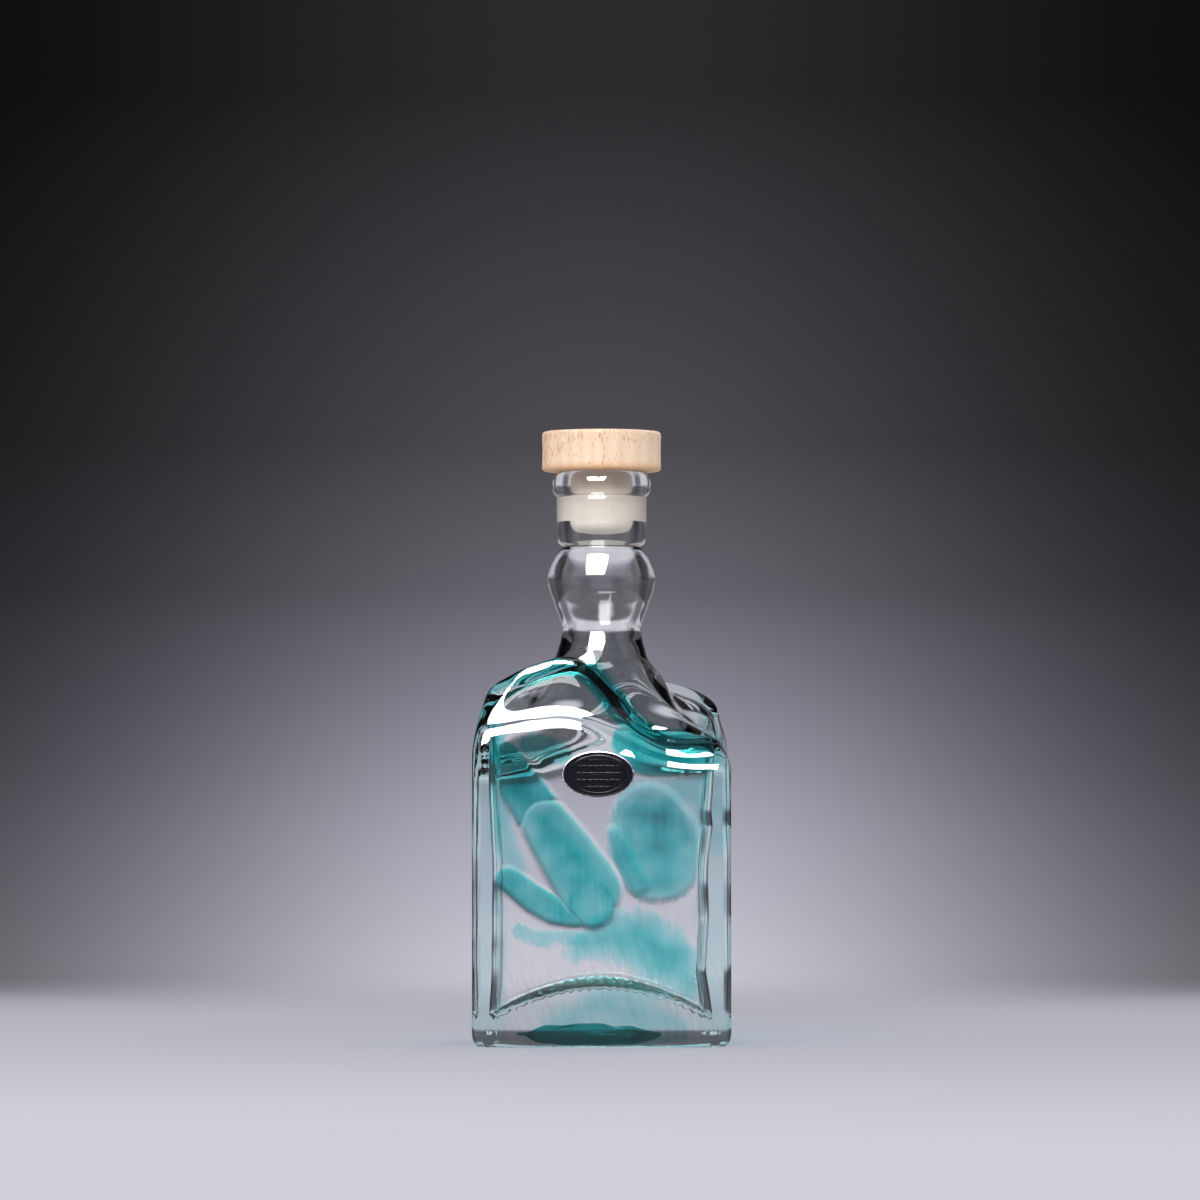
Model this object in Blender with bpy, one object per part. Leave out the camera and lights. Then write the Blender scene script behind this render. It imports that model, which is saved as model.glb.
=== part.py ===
"""Corked glass bottle: a blown vessel with a waved shoulder, and a stopper that lifts out.

Metres, +Z up, the front face towards -Y. The origin is the centre of the standing face. The vessel is
one closed surface, lofted through rings: outside from foot to lip, then inside from lip to floor.
"""

import math

import bmesh
import bpy
import numpy as np

# Body of the vessel
BODY_WIDTH = 0.0968
BODY_DEPTH = 0.0680
BODY_SQUARENESS = 12.0  # exponent of the rounded-rectangle plan, where 2 is an ellipse
BODY_HEIGHT = 0.1258  # mean height of the shoulder ridge
FOOT_ROUNDING = 0.0030
FOOT_RISE = 0.0055  # height over which the wall rounds in to the foot
FOOT_RING_WIDTH = 0.0090
HOLLOW_DEPTH = 0.0030  # how far the underside is hollowed above the standing face
HOLLOW_SHAPE = (  # share of the plan inside the foot ring, share of the depth, squareness
    (0.42, 0.96, 2.6),
    (0.70, 0.74, 3.4),
    (0.95, 0.16, 6.0),
)

# Waved shoulder
SHOULDER_WAVE = 0.0165  # the ridge rises and falls twice in a turn
SHOULDER_TILT = 0.0037  # the ridge stands higher at the front than at the back
CREST_BEARING = math.radians(241.2)  # anticlockwise from +X, so the front crest is left of centre
CORNER_LIFT = 0.0050  # the ridge lifts again at the front right corner
CORNER_BEARING = math.radians(331.0)
CORNER_SPREAD = math.radians(15.0)
SHOULDER_HEIGHT = 0.0201  # from the end of the straight wall up to the ridge
RIDGE_INSET = 0.0098  # from the front or back wall's face in to the top of the ridge
RIDGE_SIDE_INSET = 0.0042  # the same at the narrow sides
SHOULDER_SHAPE = (  # share of the insets, share of the height, share of the wave, squareness
    (0.12, 0.31, 0.55, 9.0),
    (0.48, 0.64, 0.76, 6.5),
    (0.70, 0.86, 0.94, 5.2),
    (1.00, 1.00, 1.00, 4.4),
    (1.42, 1.01, 0.86, 3.8),
)
RIDGE_ROW = 3  # the row of the shape that is the top of the ridge
STRAIGHT_TOP_WAVE = 0.35  # share of the wave where the straight wall ends

# Neck, from the mean ridge upwards
SHOULDER_SLOPE_WIDTH = 0.0600
SHOULDER_SLOPE_DEPTH = 0.0370
SHOULDER_SLOPE_RISE = 0.0055
SHOULDER_SLOPE_SQUARENESS = 2.8
SHOULDER_SLOPE_WAVE = 0.58
NECK_ROOT_WIDTH = 0.0466
NECK_ROOT_DEPTH = 0.0350
NECK_ROOT_RISE = 0.0142
NECK_ROOT_SQUARENESS = 2.1
NECK_ROOT_WAVE = 0.24
NECK_BASE_RADIUS = 0.0172
NECK_BASE_RISE = 0.0214
NECK_BASE_WAVE = 0.05
WAIST_RADIUS = 0.0150
WAIST_RISE = 0.0304
KNOP_RADIUS = 0.0205
KNOP_RISE = 0.0190  # from the waist
KNOP_FLANK = 0.49  # share of the rise where the swelling is half done
PINCH_RADIUS = 0.0144
PINCH_RISE = 0.0123  # from the knop's middle
PINCH_FLANK = 0.72
COLLAR_FOOT_RADIUS = 0.0165
COLLAR_FOOT_RISE = 0.0018  # from the pinch
COLLAR_FOOT_ROUNDING = 0.0009
COLLAR_RADIUS = 0.0172
COLLAR_LENGTH = 0.0189
LIP_RADIUS = 0.0188
LIP_HEIGHT = 0.0093
LIP_BULGE = 0.0030
LIP_BELLY = 0.0044  # from the groove under the lip up to where it is widest
LIP_GROOVE = 0.0006  # how deep the collar turns in under the lip
MOUTH_SOFTENING = 0.0007  # where the bore meets the lip's top

# Thickness of the glass
SIDE_WALL = 0.0066
INSIDE_SQUARENESS = 8.0
SHOULDER_WALL = 0.0056
SLOPE_WALL = 0.0028  # sideways, under the shoulder's slope and its ridge
FOLD_THICKNESS = 0.0092  # under the top of the ridge, where the glass is rolled thick
FOLD_ROUNDING = 0.8  # how much less square the inside is than the outside at the shoulder
NECK_WALL = 0.0040
NECK_BASE_DROP = 0.0020  # the inside narrows this much lower than the outside
KNOP_WALL = 0.0046

# Pushed-up floor, thick in the middle
FLOOR_EDGE_THICKNESS = 0.0060
FLOOR_SQUARENESS = 6.5
FLOOR_CORNER_INSET = 0.0018  # rounding between the wall and the floor
FLOOR_CORNER_RISE = 0.0030
FLOOR_ARCH = 0.0125  # from side to side, along the front and back walls too
FLOOR_CROWN = 0.0065  # how much further the middle stands up
FLOOR_SHARES = (0.88, 0.72, 0.54, 0.36, 0.18)  # shares of the plan where the floor has a ring

# Stopper
SHANK_DIAMETER = 0.0234
SHANK_CLEARANCE = 0.0003  # round the shank, in the vessel's bore and in the head's recess
SHANK_REACH = 0.0224  # how far the shank goes down into the vessel
SHANK_TIP_INSET = 0.0032  # how far the tip's rounding comes in
SHANK_TIP_RISE = 0.0044  # and how far up it starts
BORE_OVERRUN = 0.0015  # the straight bore goes on below the shank's tip
HEAD_DIAMETER = 0.0450
HEAD_THICKNESS = 0.0150
HEAD_ROUNDING = 0.0013
RECESS_DEPTH = 0.0050
FACE_GAP = 0.0003  # between two faces that rest on each other

# Sticker on the front face
STICKER_WIDTH = 0.0271
STICKER_HEIGHT = 0.0173
STICKER_THICKNESS = 0.0003
STICKER_CENTRE_HEIGHT = 0.1028

# How finely the round pieces are divided
VESSEL_COLUMNS = 64
CORNER_CROWDING = 0.16  # draws the columns together at the body's corners
OUTSIDE_STEPS = 3
INSIDE_STEPS = 2
STOPPER_COLUMNS = 48
STICKER_COLUMNS = 36
ROUNDING_STEPS = 4

# Places worked out from the sizes above
STRAIGHT_TOP = BODY_HEIGHT - SHOULDER_HEIGHT
WAIST_HEIGHT = BODY_HEIGHT + WAIST_RISE
KNOP_HEIGHT = WAIST_HEIGHT + KNOP_RISE
PINCH_HEIGHT = KNOP_HEIGHT + PINCH_RISE
COLLAR_TOP = PINCH_HEIGHT + COLLAR_LENGTH
VESSEL_HEIGHT = COLLAR_TOP + LIP_HEIGHT
BORE_RADIUS = SHANK_DIAMETER / 2 + SHANK_CLEARANCE
HEAD_BOTTOM = VESSEL_HEIGHT + FACE_GAP
SHANK_TIP = VESSEL_HEIGHT - SHANK_REACH
INSIDE_HALF_WIDTH = BODY_WIDTH / 2 - SIDE_WALL


def ring(half_width, half_depth, squareness, height, wave_share=0.0, arch_share=0.0):
    """One level: its plan, its height, and its shares of the shoulder's wave and of the floor's arch."""
    return np.array([half_width, half_depth, squareness, height, wave_share, arch_share])


def round_ring(radius, height, wave_share=0.0):
    """A level whose plan is a circle."""
    return ring(radius, radius, 2.0, height, wave_share)


def body_ring(inset, height, squareness=BODY_SQUARENESS, side_inset=None, wave_share=0.0, arch_share=0.0):
    """A level whose plan is the body's, drawn in by the inset, or by another one at the narrow sides."""
    half_width = BODY_WIDTH / 2 - (inset if side_inset is None else side_inset)
    return ring(half_width, BODY_DEPTH / 2 - inset, squareness, height, wave_share, arch_share)


def smooth(rings, steps):
    """Levels on a smooth curve through the rings, with the given steps between each pair.

    Each stretch is a cubic. Its slope at a ring is the weighted harmonic mean of the slopes on both
    sides, or none where they turn, so the curve never swings out past the rings.
    """
    rows = np.array(rings)
    gaps = np.hypot(np.diff(rows[:, 0]), np.diff(rows[:, 3]))[:, None]
    slopes = np.diff(rows, axis=0) / gaps
    before, after = slopes[:-1], slopes[1:]
    near, far = gaps[:-1] + 2 * gaps[1:], 2 * gaps[:-1] + gaps[1:]
    goes_on = before * after > 0
    blend = np.where(goes_on, near * after + far * before, 1.0)
    inner = np.where(goes_on, (near + far) * before * after / blend, 0.0)
    tangents = np.vstack([slopes[:1], inner, slopes[-1:]])
    levels = []
    for index in range(len(rows) - 1):
        for step in range(steps):
            t = step / steps
            levels.append(
                (2 * t**3 - 3 * t**2 + 1) * rows[index]
                + (t**3 - 2 * t**2 + t) * gaps[index] * tangents[index]
                + (3 * t**2 - 2 * t**3) * rows[index + 1]
                + (t**3 - t**2) * gaps[index] * tangents[index + 1]
            )
    levels.append(rows[-1])
    return levels


def shoulder_wave(bearing):
    """Height of the shoulder's wave at a bearing: two crests in a turn, a tilt, and one corner's lift."""
    turn = bearing - CREST_BEARING
    off_corner = np.angle(np.exp(1j * (bearing - CORNER_BEARING))) / CORNER_SPREAD
    lift = CORNER_LIFT * np.exp(-(off_corner**2))
    return SHOULDER_WAVE * np.cos(2 * turn) - SHOULDER_TILT * np.sin(bearing) + lift


def ring_points(level, columns):
    """Points of one level, on the plan |x/a|^n + |y/b|^n = 1, lifted by its shares of wave and arch."""
    half_width, half_depth, squareness, height, wave_share, arch_share = level
    turn = 2 * math.pi * np.arange(columns) / columns
    turn = turn + CORNER_CROWDING * np.sin(4 * turn)
    reach = (np.abs(np.cos(turn)) ** squareness + np.abs(np.sin(turn)) ** squareness) ** (-1 / squareness)
    across, along = half_width * reach * np.cos(turn), half_depth * reach * np.sin(turn)
    wave = wave_share * shoulder_wave(np.arctan2(along, across))
    arch = arch_share * FLOOR_ARCH * (1 - (across / INSIDE_HALF_WIDTH) ** 2)
    return np.column_stack([across, along, height + wave + arch])


def quarter_steps():
    """Angles of a quarter turn, from its start to its end."""
    return [math.pi / 2 * step / ROUNDING_STEPS for step in range(ROUNDING_STEPS + 1)]


def foot_levels():
    """The hollowed underside and the foot ring, from the middle out to the foot's rounding."""
    half_width = BODY_WIDTH / 2 - FOOT_ROUNDING - FOOT_RING_WIDTH
    half_depth = BODY_DEPTH / 2 - FOOT_ROUNDING - FOOT_RING_WIDTH
    levels = [
        ring(half_width * share, half_depth * share, squareness, HOLLOW_DEPTH * rise)
        for share, rise, squareness in HOLLOW_SHAPE
    ]
    levels.append(ring(half_width, half_depth, BODY_SQUARENESS, 0.0))
    for angle in quarter_steps():
        levels.append(body_ring(FOOT_ROUNDING * (1 - math.sin(angle)), FOOT_RISE * (1 - math.cos(angle))))
    return levels


def lip_levels():
    """The lip: a groove at the collar's top, then a round bead out to its belly and in to its top."""
    groove = COLLAR_RADIUS - LIP_GROOVE
    levels = []
    for angle in quarter_steps():
        radius = groove + (LIP_RADIUS - groove) * math.sin(angle)
        levels.append(round_ring(radius, COLLAR_TOP + LIP_BELLY * (1 - math.cos(angle))))
    for angle in quarter_steps()[1:]:
        radius = LIP_RADIUS - LIP_BULGE * (1 - math.cos(angle))
        rise = LIP_BELLY + (LIP_HEIGHT - LIP_BELLY) * math.sin(angle)
        levels.append(round_ring(radius, COLLAR_TOP + rise))
    return levels


def outside_levels():
    """The outside of the vessel, from the middle of the underside up to the lip's top."""
    foot = foot_levels()
    shoulder = [
        body_ring(
            RIDGE_INSET * inset,
            STRAIGHT_TOP + SHOULDER_HEIGHT * rise,
            squareness,
            RIDGE_SIDE_INSET * inset,
            wave,
        )
        for inset, rise, wave, squareness in SHOULDER_SHAPE
    ]
    body = smooth(
        [
            foot[-1],
            body_ring(0.0, STRAIGHT_TOP, wave_share=STRAIGHT_TOP_WAVE),
            *shoulder,
            slope_ring(0.0, 0.0),
            root_ring(0.0),
            round_ring(NECK_BASE_RADIUS, BODY_HEIGHT + NECK_BASE_RISE, NECK_BASE_WAVE),
            round_ring(WAIST_RADIUS, WAIST_HEIGHT),
            round_ring((WAIST_RADIUS + KNOP_RADIUS) / 2, WAIST_HEIGHT + KNOP_RISE * KNOP_FLANK),
            round_ring(KNOP_RADIUS, KNOP_HEIGHT),
            round_ring((PINCH_RADIUS + KNOP_RADIUS) / 2, KNOP_HEIGHT + PINCH_RISE * PINCH_FLANK),
            round_ring(PINCH_RADIUS, PINCH_HEIGHT),
        ],
        OUTSIDE_STEPS,
    )
    collar = [
        round_ring(COLLAR_FOOT_RADIUS - COLLAR_FOOT_ROUNDING, PINCH_HEIGHT + COLLAR_FOOT_RISE / 3),
        round_ring(COLLAR_FOOT_RADIUS, PINCH_HEIGHT + COLLAR_FOOT_RISE),
        round_ring(COLLAR_RADIUS, COLLAR_TOP - LIP_GROOVE),
    ]
    return foot[:-1] + body + collar + lip_levels()


def slope_ring(wall, drop):
    """The shoulder's slope inside its ridge, drawn in by a wall and lowered by a drop."""
    return ring(
        SHOULDER_SLOPE_WIDTH / 2 - wall,
        SHOULDER_SLOPE_DEPTH / 2 - wall,
        SHOULDER_SLOPE_SQUARENESS,
        BODY_HEIGHT + SHOULDER_SLOPE_RISE - drop,
        SHOULDER_SLOPE_WAVE,
    )


def root_ring(wall):
    """Where the neck grows out of the shoulder, drawn in and lowered by a wall."""
    return ring(
        NECK_ROOT_WIDTH / 2 - wall,
        NECK_ROOT_DEPTH / 2 - wall,
        NECK_ROOT_SQUARENESS,
        BODY_HEIGHT + NECK_ROOT_RISE - wall,
        NECK_ROOT_WAVE,
    )


def floor_levels():
    """The pushed-up floor, from its first ring inside the wall's rounding in to its middle."""
    half_width = INSIDE_HALF_WIDTH - FLOOR_CORNER_INSET
    half_depth = BODY_DEPTH / 2 - SIDE_WALL - FLOOR_CORNER_INSET
    levels = []
    for share in FLOOR_SHARES:
        squareness = 2.0 + (FLOOR_SQUARENESS - 2.0) * share**2
        height = FLOOR_EDGE_THICKNESS + FLOOR_CROWN * (1 - share**2)
        levels.append(ring(half_width * share, half_depth * share, squareness, height, arch_share=1.0))
    return levels


def inside_levels():
    """The inside of the vessel, from the mouth down to the floor and in to its middle."""
    bore = [
        round_ring(BORE_RADIUS + MOUTH_SOFTENING, VESSEL_HEIGHT),
        round_ring(BORE_RADIUS, VESSEL_HEIGHT - MOUTH_SOFTENING),
    ]
    shoulder = [
        body_ring(
            (RIDGE_INSET + SLOPE_WALL) * inset + SIDE_WALL * (1 - inset),
            STRAIGHT_TOP + (SHOULDER_HEIGHT - FOLD_THICKNESS) * rise,
            squareness - FOLD_ROUNDING,
            RIDGE_SIDE_INSET * inset + SIDE_WALL,
            wave,
        )
        for inset, rise, wave, squareness in SHOULDER_SHAPE[RIDGE_ROW::-1]
    ]
    floor_corner = FLOOR_EDGE_THICKNESS + FLOOR_CORNER_RISE
    cavity = smooth(
        [
            round_ring(BORE_RADIUS, SHANK_TIP - BORE_OVERRUN),
            round_ring(PINCH_RADIUS - NECK_WALL, PINCH_HEIGHT),
            round_ring(KNOP_RADIUS - KNOP_WALL, KNOP_HEIGHT),
            round_ring(WAIST_RADIUS - NECK_WALL, WAIST_HEIGHT),
            round_ring(
                NECK_BASE_RADIUS - NECK_WALL, BODY_HEIGHT + NECK_BASE_RISE - NECK_BASE_DROP, NECK_BASE_WAVE
            ),
            root_ring(SHOULDER_WALL),
            slope_ring(SLOPE_WALL, FOLD_THICKNESS),
            *shoulder,
            body_ring(SIDE_WALL, STRAIGHT_TOP, INSIDE_SQUARENESS, wave_share=STRAIGHT_TOP_WAVE),
            body_ring(SIDE_WALL, floor_corner, INSIDE_SQUARENESS, arch_share=1.0),
            body_ring(
                SIDE_WALL + FLOOR_CORNER_INSET, FLOOR_EDGE_THICKNESS, FLOOR_SQUARENESS, arch_share=1.0
            ),
        ],
        INSIDE_STEPS,
    )
    return bore + cavity + floor_levels()


def new_object(name, build, material, sharp_angle=math.radians(40.0)):
    """An object whose mesh is filled by the build function."""
    mesh = bpy.data.meshes.new(name)
    shape = bmesh.new()
    build(shape)
    bmesh.ops.recalc_face_normals(shape, faces=shape.faces)
    shape.to_mesh(mesh)
    shape.free()
    mesh.shade_smooth()
    mesh.set_sharp_from_angle(angle=sharp_angle)
    mesh.materials.append(material)
    piece = bpy.data.objects.new(name, mesh)
    bpy.context.scene.collection.objects.link(piece)
    return piece


def loft(shape, rings):
    """Faces between each ring of points and the next, as many points in each."""
    loops = []
    for points in rings:
        corners = [shape.verts.new(point) for point in points]
        loops.append(corners)
    count = len(loops[0])
    for lower, upper in zip(loops, loops[1:]):
        for index in range(count):
            following = (index + 1) % count
            shape.faces.new((lower[index], lower[following], upper[following], upper[index]))
    return loops


def cap(shape, loop, centre):
    """A fan of triangles that closes a ring of points at its centre."""
    middle = shape.verts.new(centre)
    for index, corner in enumerate(loop):
        shape.faces.new((corner, loop[(index + 1) % len(loop)], middle))


def build_vessel(shape):
    """The glass: outside and inside in one closed surface, joined at the mouth."""
    levels = outside_levels() + inside_levels()
    loops = loft(shape, [ring_points(level, VESSEL_COLUMNS) for level in levels])
    cap(shape, loops[0], (0.0, 0.0, HOLLOW_DEPTH))
    cap(shape, loops[-1], (0.0, 0.0, FLOOR_EDGE_THICKNESS + FLOOR_CROWN + FLOOR_ARCH))


def turned(shape, profile, columns):
    """A turned solid: the profile of (radius, height) pairs runs round the axis from pole to pole."""
    rings = [ring_points(round_ring(radius, height), columns) for radius, height in profile[1:-1]]
    loops = loft(shape, rings)
    cap(shape, loops[0], (0.0, 0.0, profile[0][1]))
    cap(shape, loops[-1], (0.0, 0.0, profile[-1][1]))


def head_profile():
    """Half section of the head, from its recess's middle, round the outside, to the middle of its top."""
    recess = SHANK_DIAMETER / 2 + SHANK_CLEARANCE
    radius = HEAD_DIAMETER / 2
    profile = [(0.0, RECESS_DEPTH), (recess, RECESS_DEPTH), (recess, 0.0)]
    for centre_height, start in ((HEAD_ROUNDING, -math.pi / 2), (HEAD_THICKNESS - HEAD_ROUNDING, 0.0)):
        for step in range(ROUNDING_STEPS + 1):
            angle = start + math.pi / 2 * step / ROUNDING_STEPS
            across = radius - HEAD_ROUNDING * (1 - math.cos(angle))
            profile.append((across, centre_height + HEAD_ROUNDING * math.sin(angle)))
    profile.append((0.0, HEAD_THICKNESS))
    return profile


def shank_profile():
    """Half section of the shank, from the middle of its rounded tip up to the middle of its glued end."""
    radius = SHANK_DIAMETER / 2
    length = SHANK_REACH + RECESS_DEPTH  # the glued end stops a face gap below the recess's roof
    profile = [(0.0, 0.0)]
    for step in range(ROUNDING_STEPS + 1):
        angle = math.pi / 2 * step / ROUNDING_STEPS
        across = radius - SHANK_TIP_INSET * (1 - math.sin(angle))
        profile.append((across, SHANK_TIP_RISE * (1 - math.cos(angle))))
    profile += [(radius, length), (0.0, length)]
    return profile


def build_sticker(shape):
    """A flat oval that lies just in front of the vessel's front face."""
    back = -BODY_DEPTH / 2 - FACE_GAP
    rings = []
    for y in (back, back - STICKER_THICKNESS):
        bearing = 2 * math.pi * np.arange(STICKER_COLUMNS) / STICKER_COLUMNS
        across = STICKER_WIDTH / 2 * np.cos(bearing)
        up = STICKER_CENTRE_HEIGHT + STICKER_HEIGHT / 2 * np.sin(bearing)
        rings.append(np.column_stack([across, np.full(STICKER_COLUMNS, y), up]))
    loops = loft(shape, rings)
    cap(shape, loops[0], (0.0, back, STICKER_CENTRE_HEIGHT))
    cap(shape, loops[-1], (0.0, back - STICKER_THICKNESS, STICKER_CENTRE_HEIGHT))


def linear(value):
    """The linear share of light for one 8-bit sRGB channel."""
    share = value / 255
    return share / 12.92 if share <= 0.04045 else ((share + 0.055) / 1.055) ** 2.4


def new_material(name, colour, roughness, metallic=0.0, transmission=0.0):
    """A Principled material whose colour is a six-figure sRGB hex value."""
    material = bpy.data.materials.new(name)
    material.use_nodes = True
    surface = material.node_tree.nodes["Principled BSDF"]
    red, green, blue = (linear(int(colour[start : start + 2], 16)) for start in (0, 2, 4))
    surface.inputs["Base Color"].default_value = (red, green, blue, 1.0)
    surface.inputs["Roughness"].default_value = roughness
    surface.inputs["Metallic"].default_value = metallic
    surface.inputs["Transmission Weight"].default_value = transmission
    return material


def build():
    """The vessel with its sticker, and the stopper under an empty on the line it lifts along."""
    for old in list(bpy.data.objects):
        bpy.data.objects.remove(old)

    glass = new_material("aqua_glass", "7FBFC0", 0.02, transmission=1.0)
    beech = new_material("turned_beech", "F0CFA8", 0.50)
    foam_cork = new_material("foam_cork", "EFE0D5", 0.70)
    foil = new_material("dark_foil", "24242C", 0.40, metallic=0.6)

    new_object("glass_bottle", build_vessel, glass)
    new_object("label_sticker", build_sticker, foil)

    lift = bpy.data.objects.new("stopper_lift", None)
    lift.location = (0.0, 0.0, HEAD_BOTTOM)
    bpy.context.scene.collection.objects.link(lift)
    head = new_object("stopper_head", lambda shape: turned(shape, head_profile(), STOPPER_COLUMNS), beech)
    head.parent = lift
    shank = new_object(
        "stopper_shank", lambda shape: turned(shape, shank_profile(), STOPPER_COLUMNS), foam_cork
    )
    shank.location = (0.0, 0.0, SHANK_TIP - HEAD_BOTTOM)
    shank.parent = lift


build()
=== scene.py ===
"""Looks of the corked glass bottle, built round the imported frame.

The blown vessel, its foil sticker and both parts of the stopper are made again as fine surfaces, worked
out on grids in metres, +Z up, the front face towards -Y. The vessel and the sticker ride on the bottle,
and the wooden head and the foam shank ride on the stopper.
"""

import logging
import math
from dataclasses import dataclass
from enum import Enum
from typing import Any

import bpy
import numpy as np
from numpy.typing import NDArray
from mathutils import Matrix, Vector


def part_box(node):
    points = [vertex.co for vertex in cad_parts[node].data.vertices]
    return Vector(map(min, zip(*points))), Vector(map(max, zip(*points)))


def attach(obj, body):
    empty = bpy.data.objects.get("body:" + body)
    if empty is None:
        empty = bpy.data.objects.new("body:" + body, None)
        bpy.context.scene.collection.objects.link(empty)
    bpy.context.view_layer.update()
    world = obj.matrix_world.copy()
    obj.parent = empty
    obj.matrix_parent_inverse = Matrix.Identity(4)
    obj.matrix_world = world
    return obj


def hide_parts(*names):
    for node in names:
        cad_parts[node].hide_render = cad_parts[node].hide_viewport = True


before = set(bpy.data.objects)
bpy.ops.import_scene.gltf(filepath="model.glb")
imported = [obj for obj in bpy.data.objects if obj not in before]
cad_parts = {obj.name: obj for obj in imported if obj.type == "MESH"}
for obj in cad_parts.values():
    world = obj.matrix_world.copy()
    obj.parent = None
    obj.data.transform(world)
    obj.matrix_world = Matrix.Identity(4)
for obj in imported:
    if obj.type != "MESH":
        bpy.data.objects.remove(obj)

Array = NDArray[np.float64]
Pair = tuple[float, float]
Triple = tuple[float, float, float]
Level = tuple[float, ...]
Swell = tuple[float, float, int]
Tree = bpy.types.NodeTree
Material = bpy.types.Material
Piece = bpy.types.Object
Source = bpy.types.Node | bpy.types.NodeSocket

MM = 0.001
SMOOTH = {"interpolation_type": "SMOOTHSTEP"}
STICKER_DROP = 1.3 * MM
LINE_STEPS = 12
LINE_WINDOW = 9
LOG = logging.getLogger("bottle")


class Body(Enum):
    """The bodies of the frame that pieces ride on."""

    BOTTLE = "bottle"
    STOPPER = "stopper"


class Slot(Enum):
    """The record's material slots."""

    GLASS = "aqua_glass"
    FOIL = "dark_foil"
    BEECH = "turned_beech"
    FOAM = "foam_cork"


class Wall(Enum):
    """A wall of the body: two axes along it, the axis through it, its side, and where it starts in mm."""

    FRONT = (0, 2, 1, -1.0, 12.0)
    BACK = (0, 2, 1, 1.0, 12.0)
    LEFT = (1, 2, 0, -1.0, 36.0)
    RIGHT = (1, 2, 0, 1.0, 36.0)
    FLOOR = (0, 1, 2, -1.0, -29.0)


def linear_colour(hex_value: str) -> tuple[float, float, float, float]:
    """Turns an sRGB hex colour to linear light.

    Args:
        hex_value: Six figures after a hash, such as "#F5D3B0".

    Returns:
        Red, green, blue and a full alpha. A channel under 0.04045 is divided by 12.92, and any other is
        offset by 0.055, divided by 1.055 and raised to 2.4.
    """
    shares = [int(hex_value[start : start + 2], 16) / 255 for start in (1, 3, 5)]
    red, green, blue = (s / 12.92 if s <= 0.04045 else ((s + 0.055) / 1.055) ** 2.4 for s in shares)
    return (red, green, blue, 1.0)


def add(tree: Tree, kind: str, inputs: dict[Any, Any] | None = None, ramp: Any = (), **settings: Any) -> Any:
    """Adds a node with its settings, values and links.

    Args:
        tree: The node tree.
        kind: The node's type, without the ShaderNode at its start.
        inputs: What goes to each input, by name or number: a value, a hex colour, a socket, or a node
            whose first output is meant.
        ramp: Positions and hex colours of a colour ramp.
        settings: Attributes of the node.

    Returns:
        The new node.
    """
    node = tree.nodes.new("ShaderNode" + kind)
    for name, value in settings.items():
        setattr(node, name, value)
    for name, given in (inputs or {}).items():
        source = given.outputs[0] if isinstance(given, bpy.types.Node) else given
        if isinstance(source, bpy.types.NodeSocket):
            tree.links.new(source, node.inputs[name])
        else:
            node.inputs[name].default_value = linear_colour(source) if isinstance(source, str) else source
    for number, (position, colour) in enumerate(ramp):
        elements = node.color_ramp.elements
        element = elements[number] if number < 2 else elements.new(position)
        element.position = position
        element.color = linear_colour(colour)
    return node


def fresh_material(name: str) -> tuple[Material, Tree]:
    """Makes a material with an empty node tree.

    Args:
        name: The material's name.

    Returns:
        The material and its tree.
    """
    material = bpy.data.materials.new(name)
    material.use_nodes = True
    material.node_tree.nodes.clear()
    return material, material.node_tree


def smoothstep(low: float, high: float, values: Array) -> Array:
    """Rises from 0 at low to 1 at high as 3t^2 - 2t^3, where t is the share of the way.

    Args:
        low: Where the rise starts.
        high: Where it ends.
        values: Any array.

    Returns:
        The array of shares.
    """
    share = np.clip((values - low) / (high - low), 0.0, 1.0)
    return share * share * (3 - 2 * share)


def fade(limits: tuple[float, ...], values: Array) -> Array:
    """Shares that rise from 0 to 1 between the first two limits and fall back between the last two."""
    start, full, going, gone = limits
    return smoothstep(start, full, values) * smoothstep(gone, going, values)


def swell(points: Array, wavelength: float, seed: int) -> Array:
    """A smooth unevenness in space, like that of glass worked by hand.

    The mean of nine sine waves of about one wavelength, each in its own seeded direction.

    Args:
        points: Places, with x, y and z on the last axis.
        wavelength: The usual distance from crest to crest, in metres.
        seed: Picks the directions and phases.

    Returns:
        One value for each place, mostly from -1 to 1.
    """
    draw = np.random.default_rng(seed)
    directions = draw.normal(size=(9, 3))
    directions /= np.linalg.norm(directions, axis=1)[:, None]
    turns = 2 * math.pi / (wavelength * draw.uniform(0.7, 1.5, 9))
    phases = draw.uniform(0.0, 2 * math.pi, 9)
    return np.sin(points @ (directions * turns[:, None]).T + phases).mean(axis=-1) * 2.2


def surface_normals(grid: Array) -> Array:
    """Unit normals of a grid of points whose second axis runs round, anticlockwise seen from above.

    The cross product of the step round and the step along the profile.

    Args:
        grid: Points, as rows along the profile by columns round the axis by x, y and z.

    Returns:
        Normals of the same shape.
    """
    around = np.roll(grid, -1, axis=1) - np.roll(grid, 1, axis=1)
    along = np.gradient(grid, axis=0)
    normals = np.cross(around, along)
    return normals / np.maximum(np.linalg.norm(normals, axis=-1, keepdims=True), 1e-12)


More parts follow.
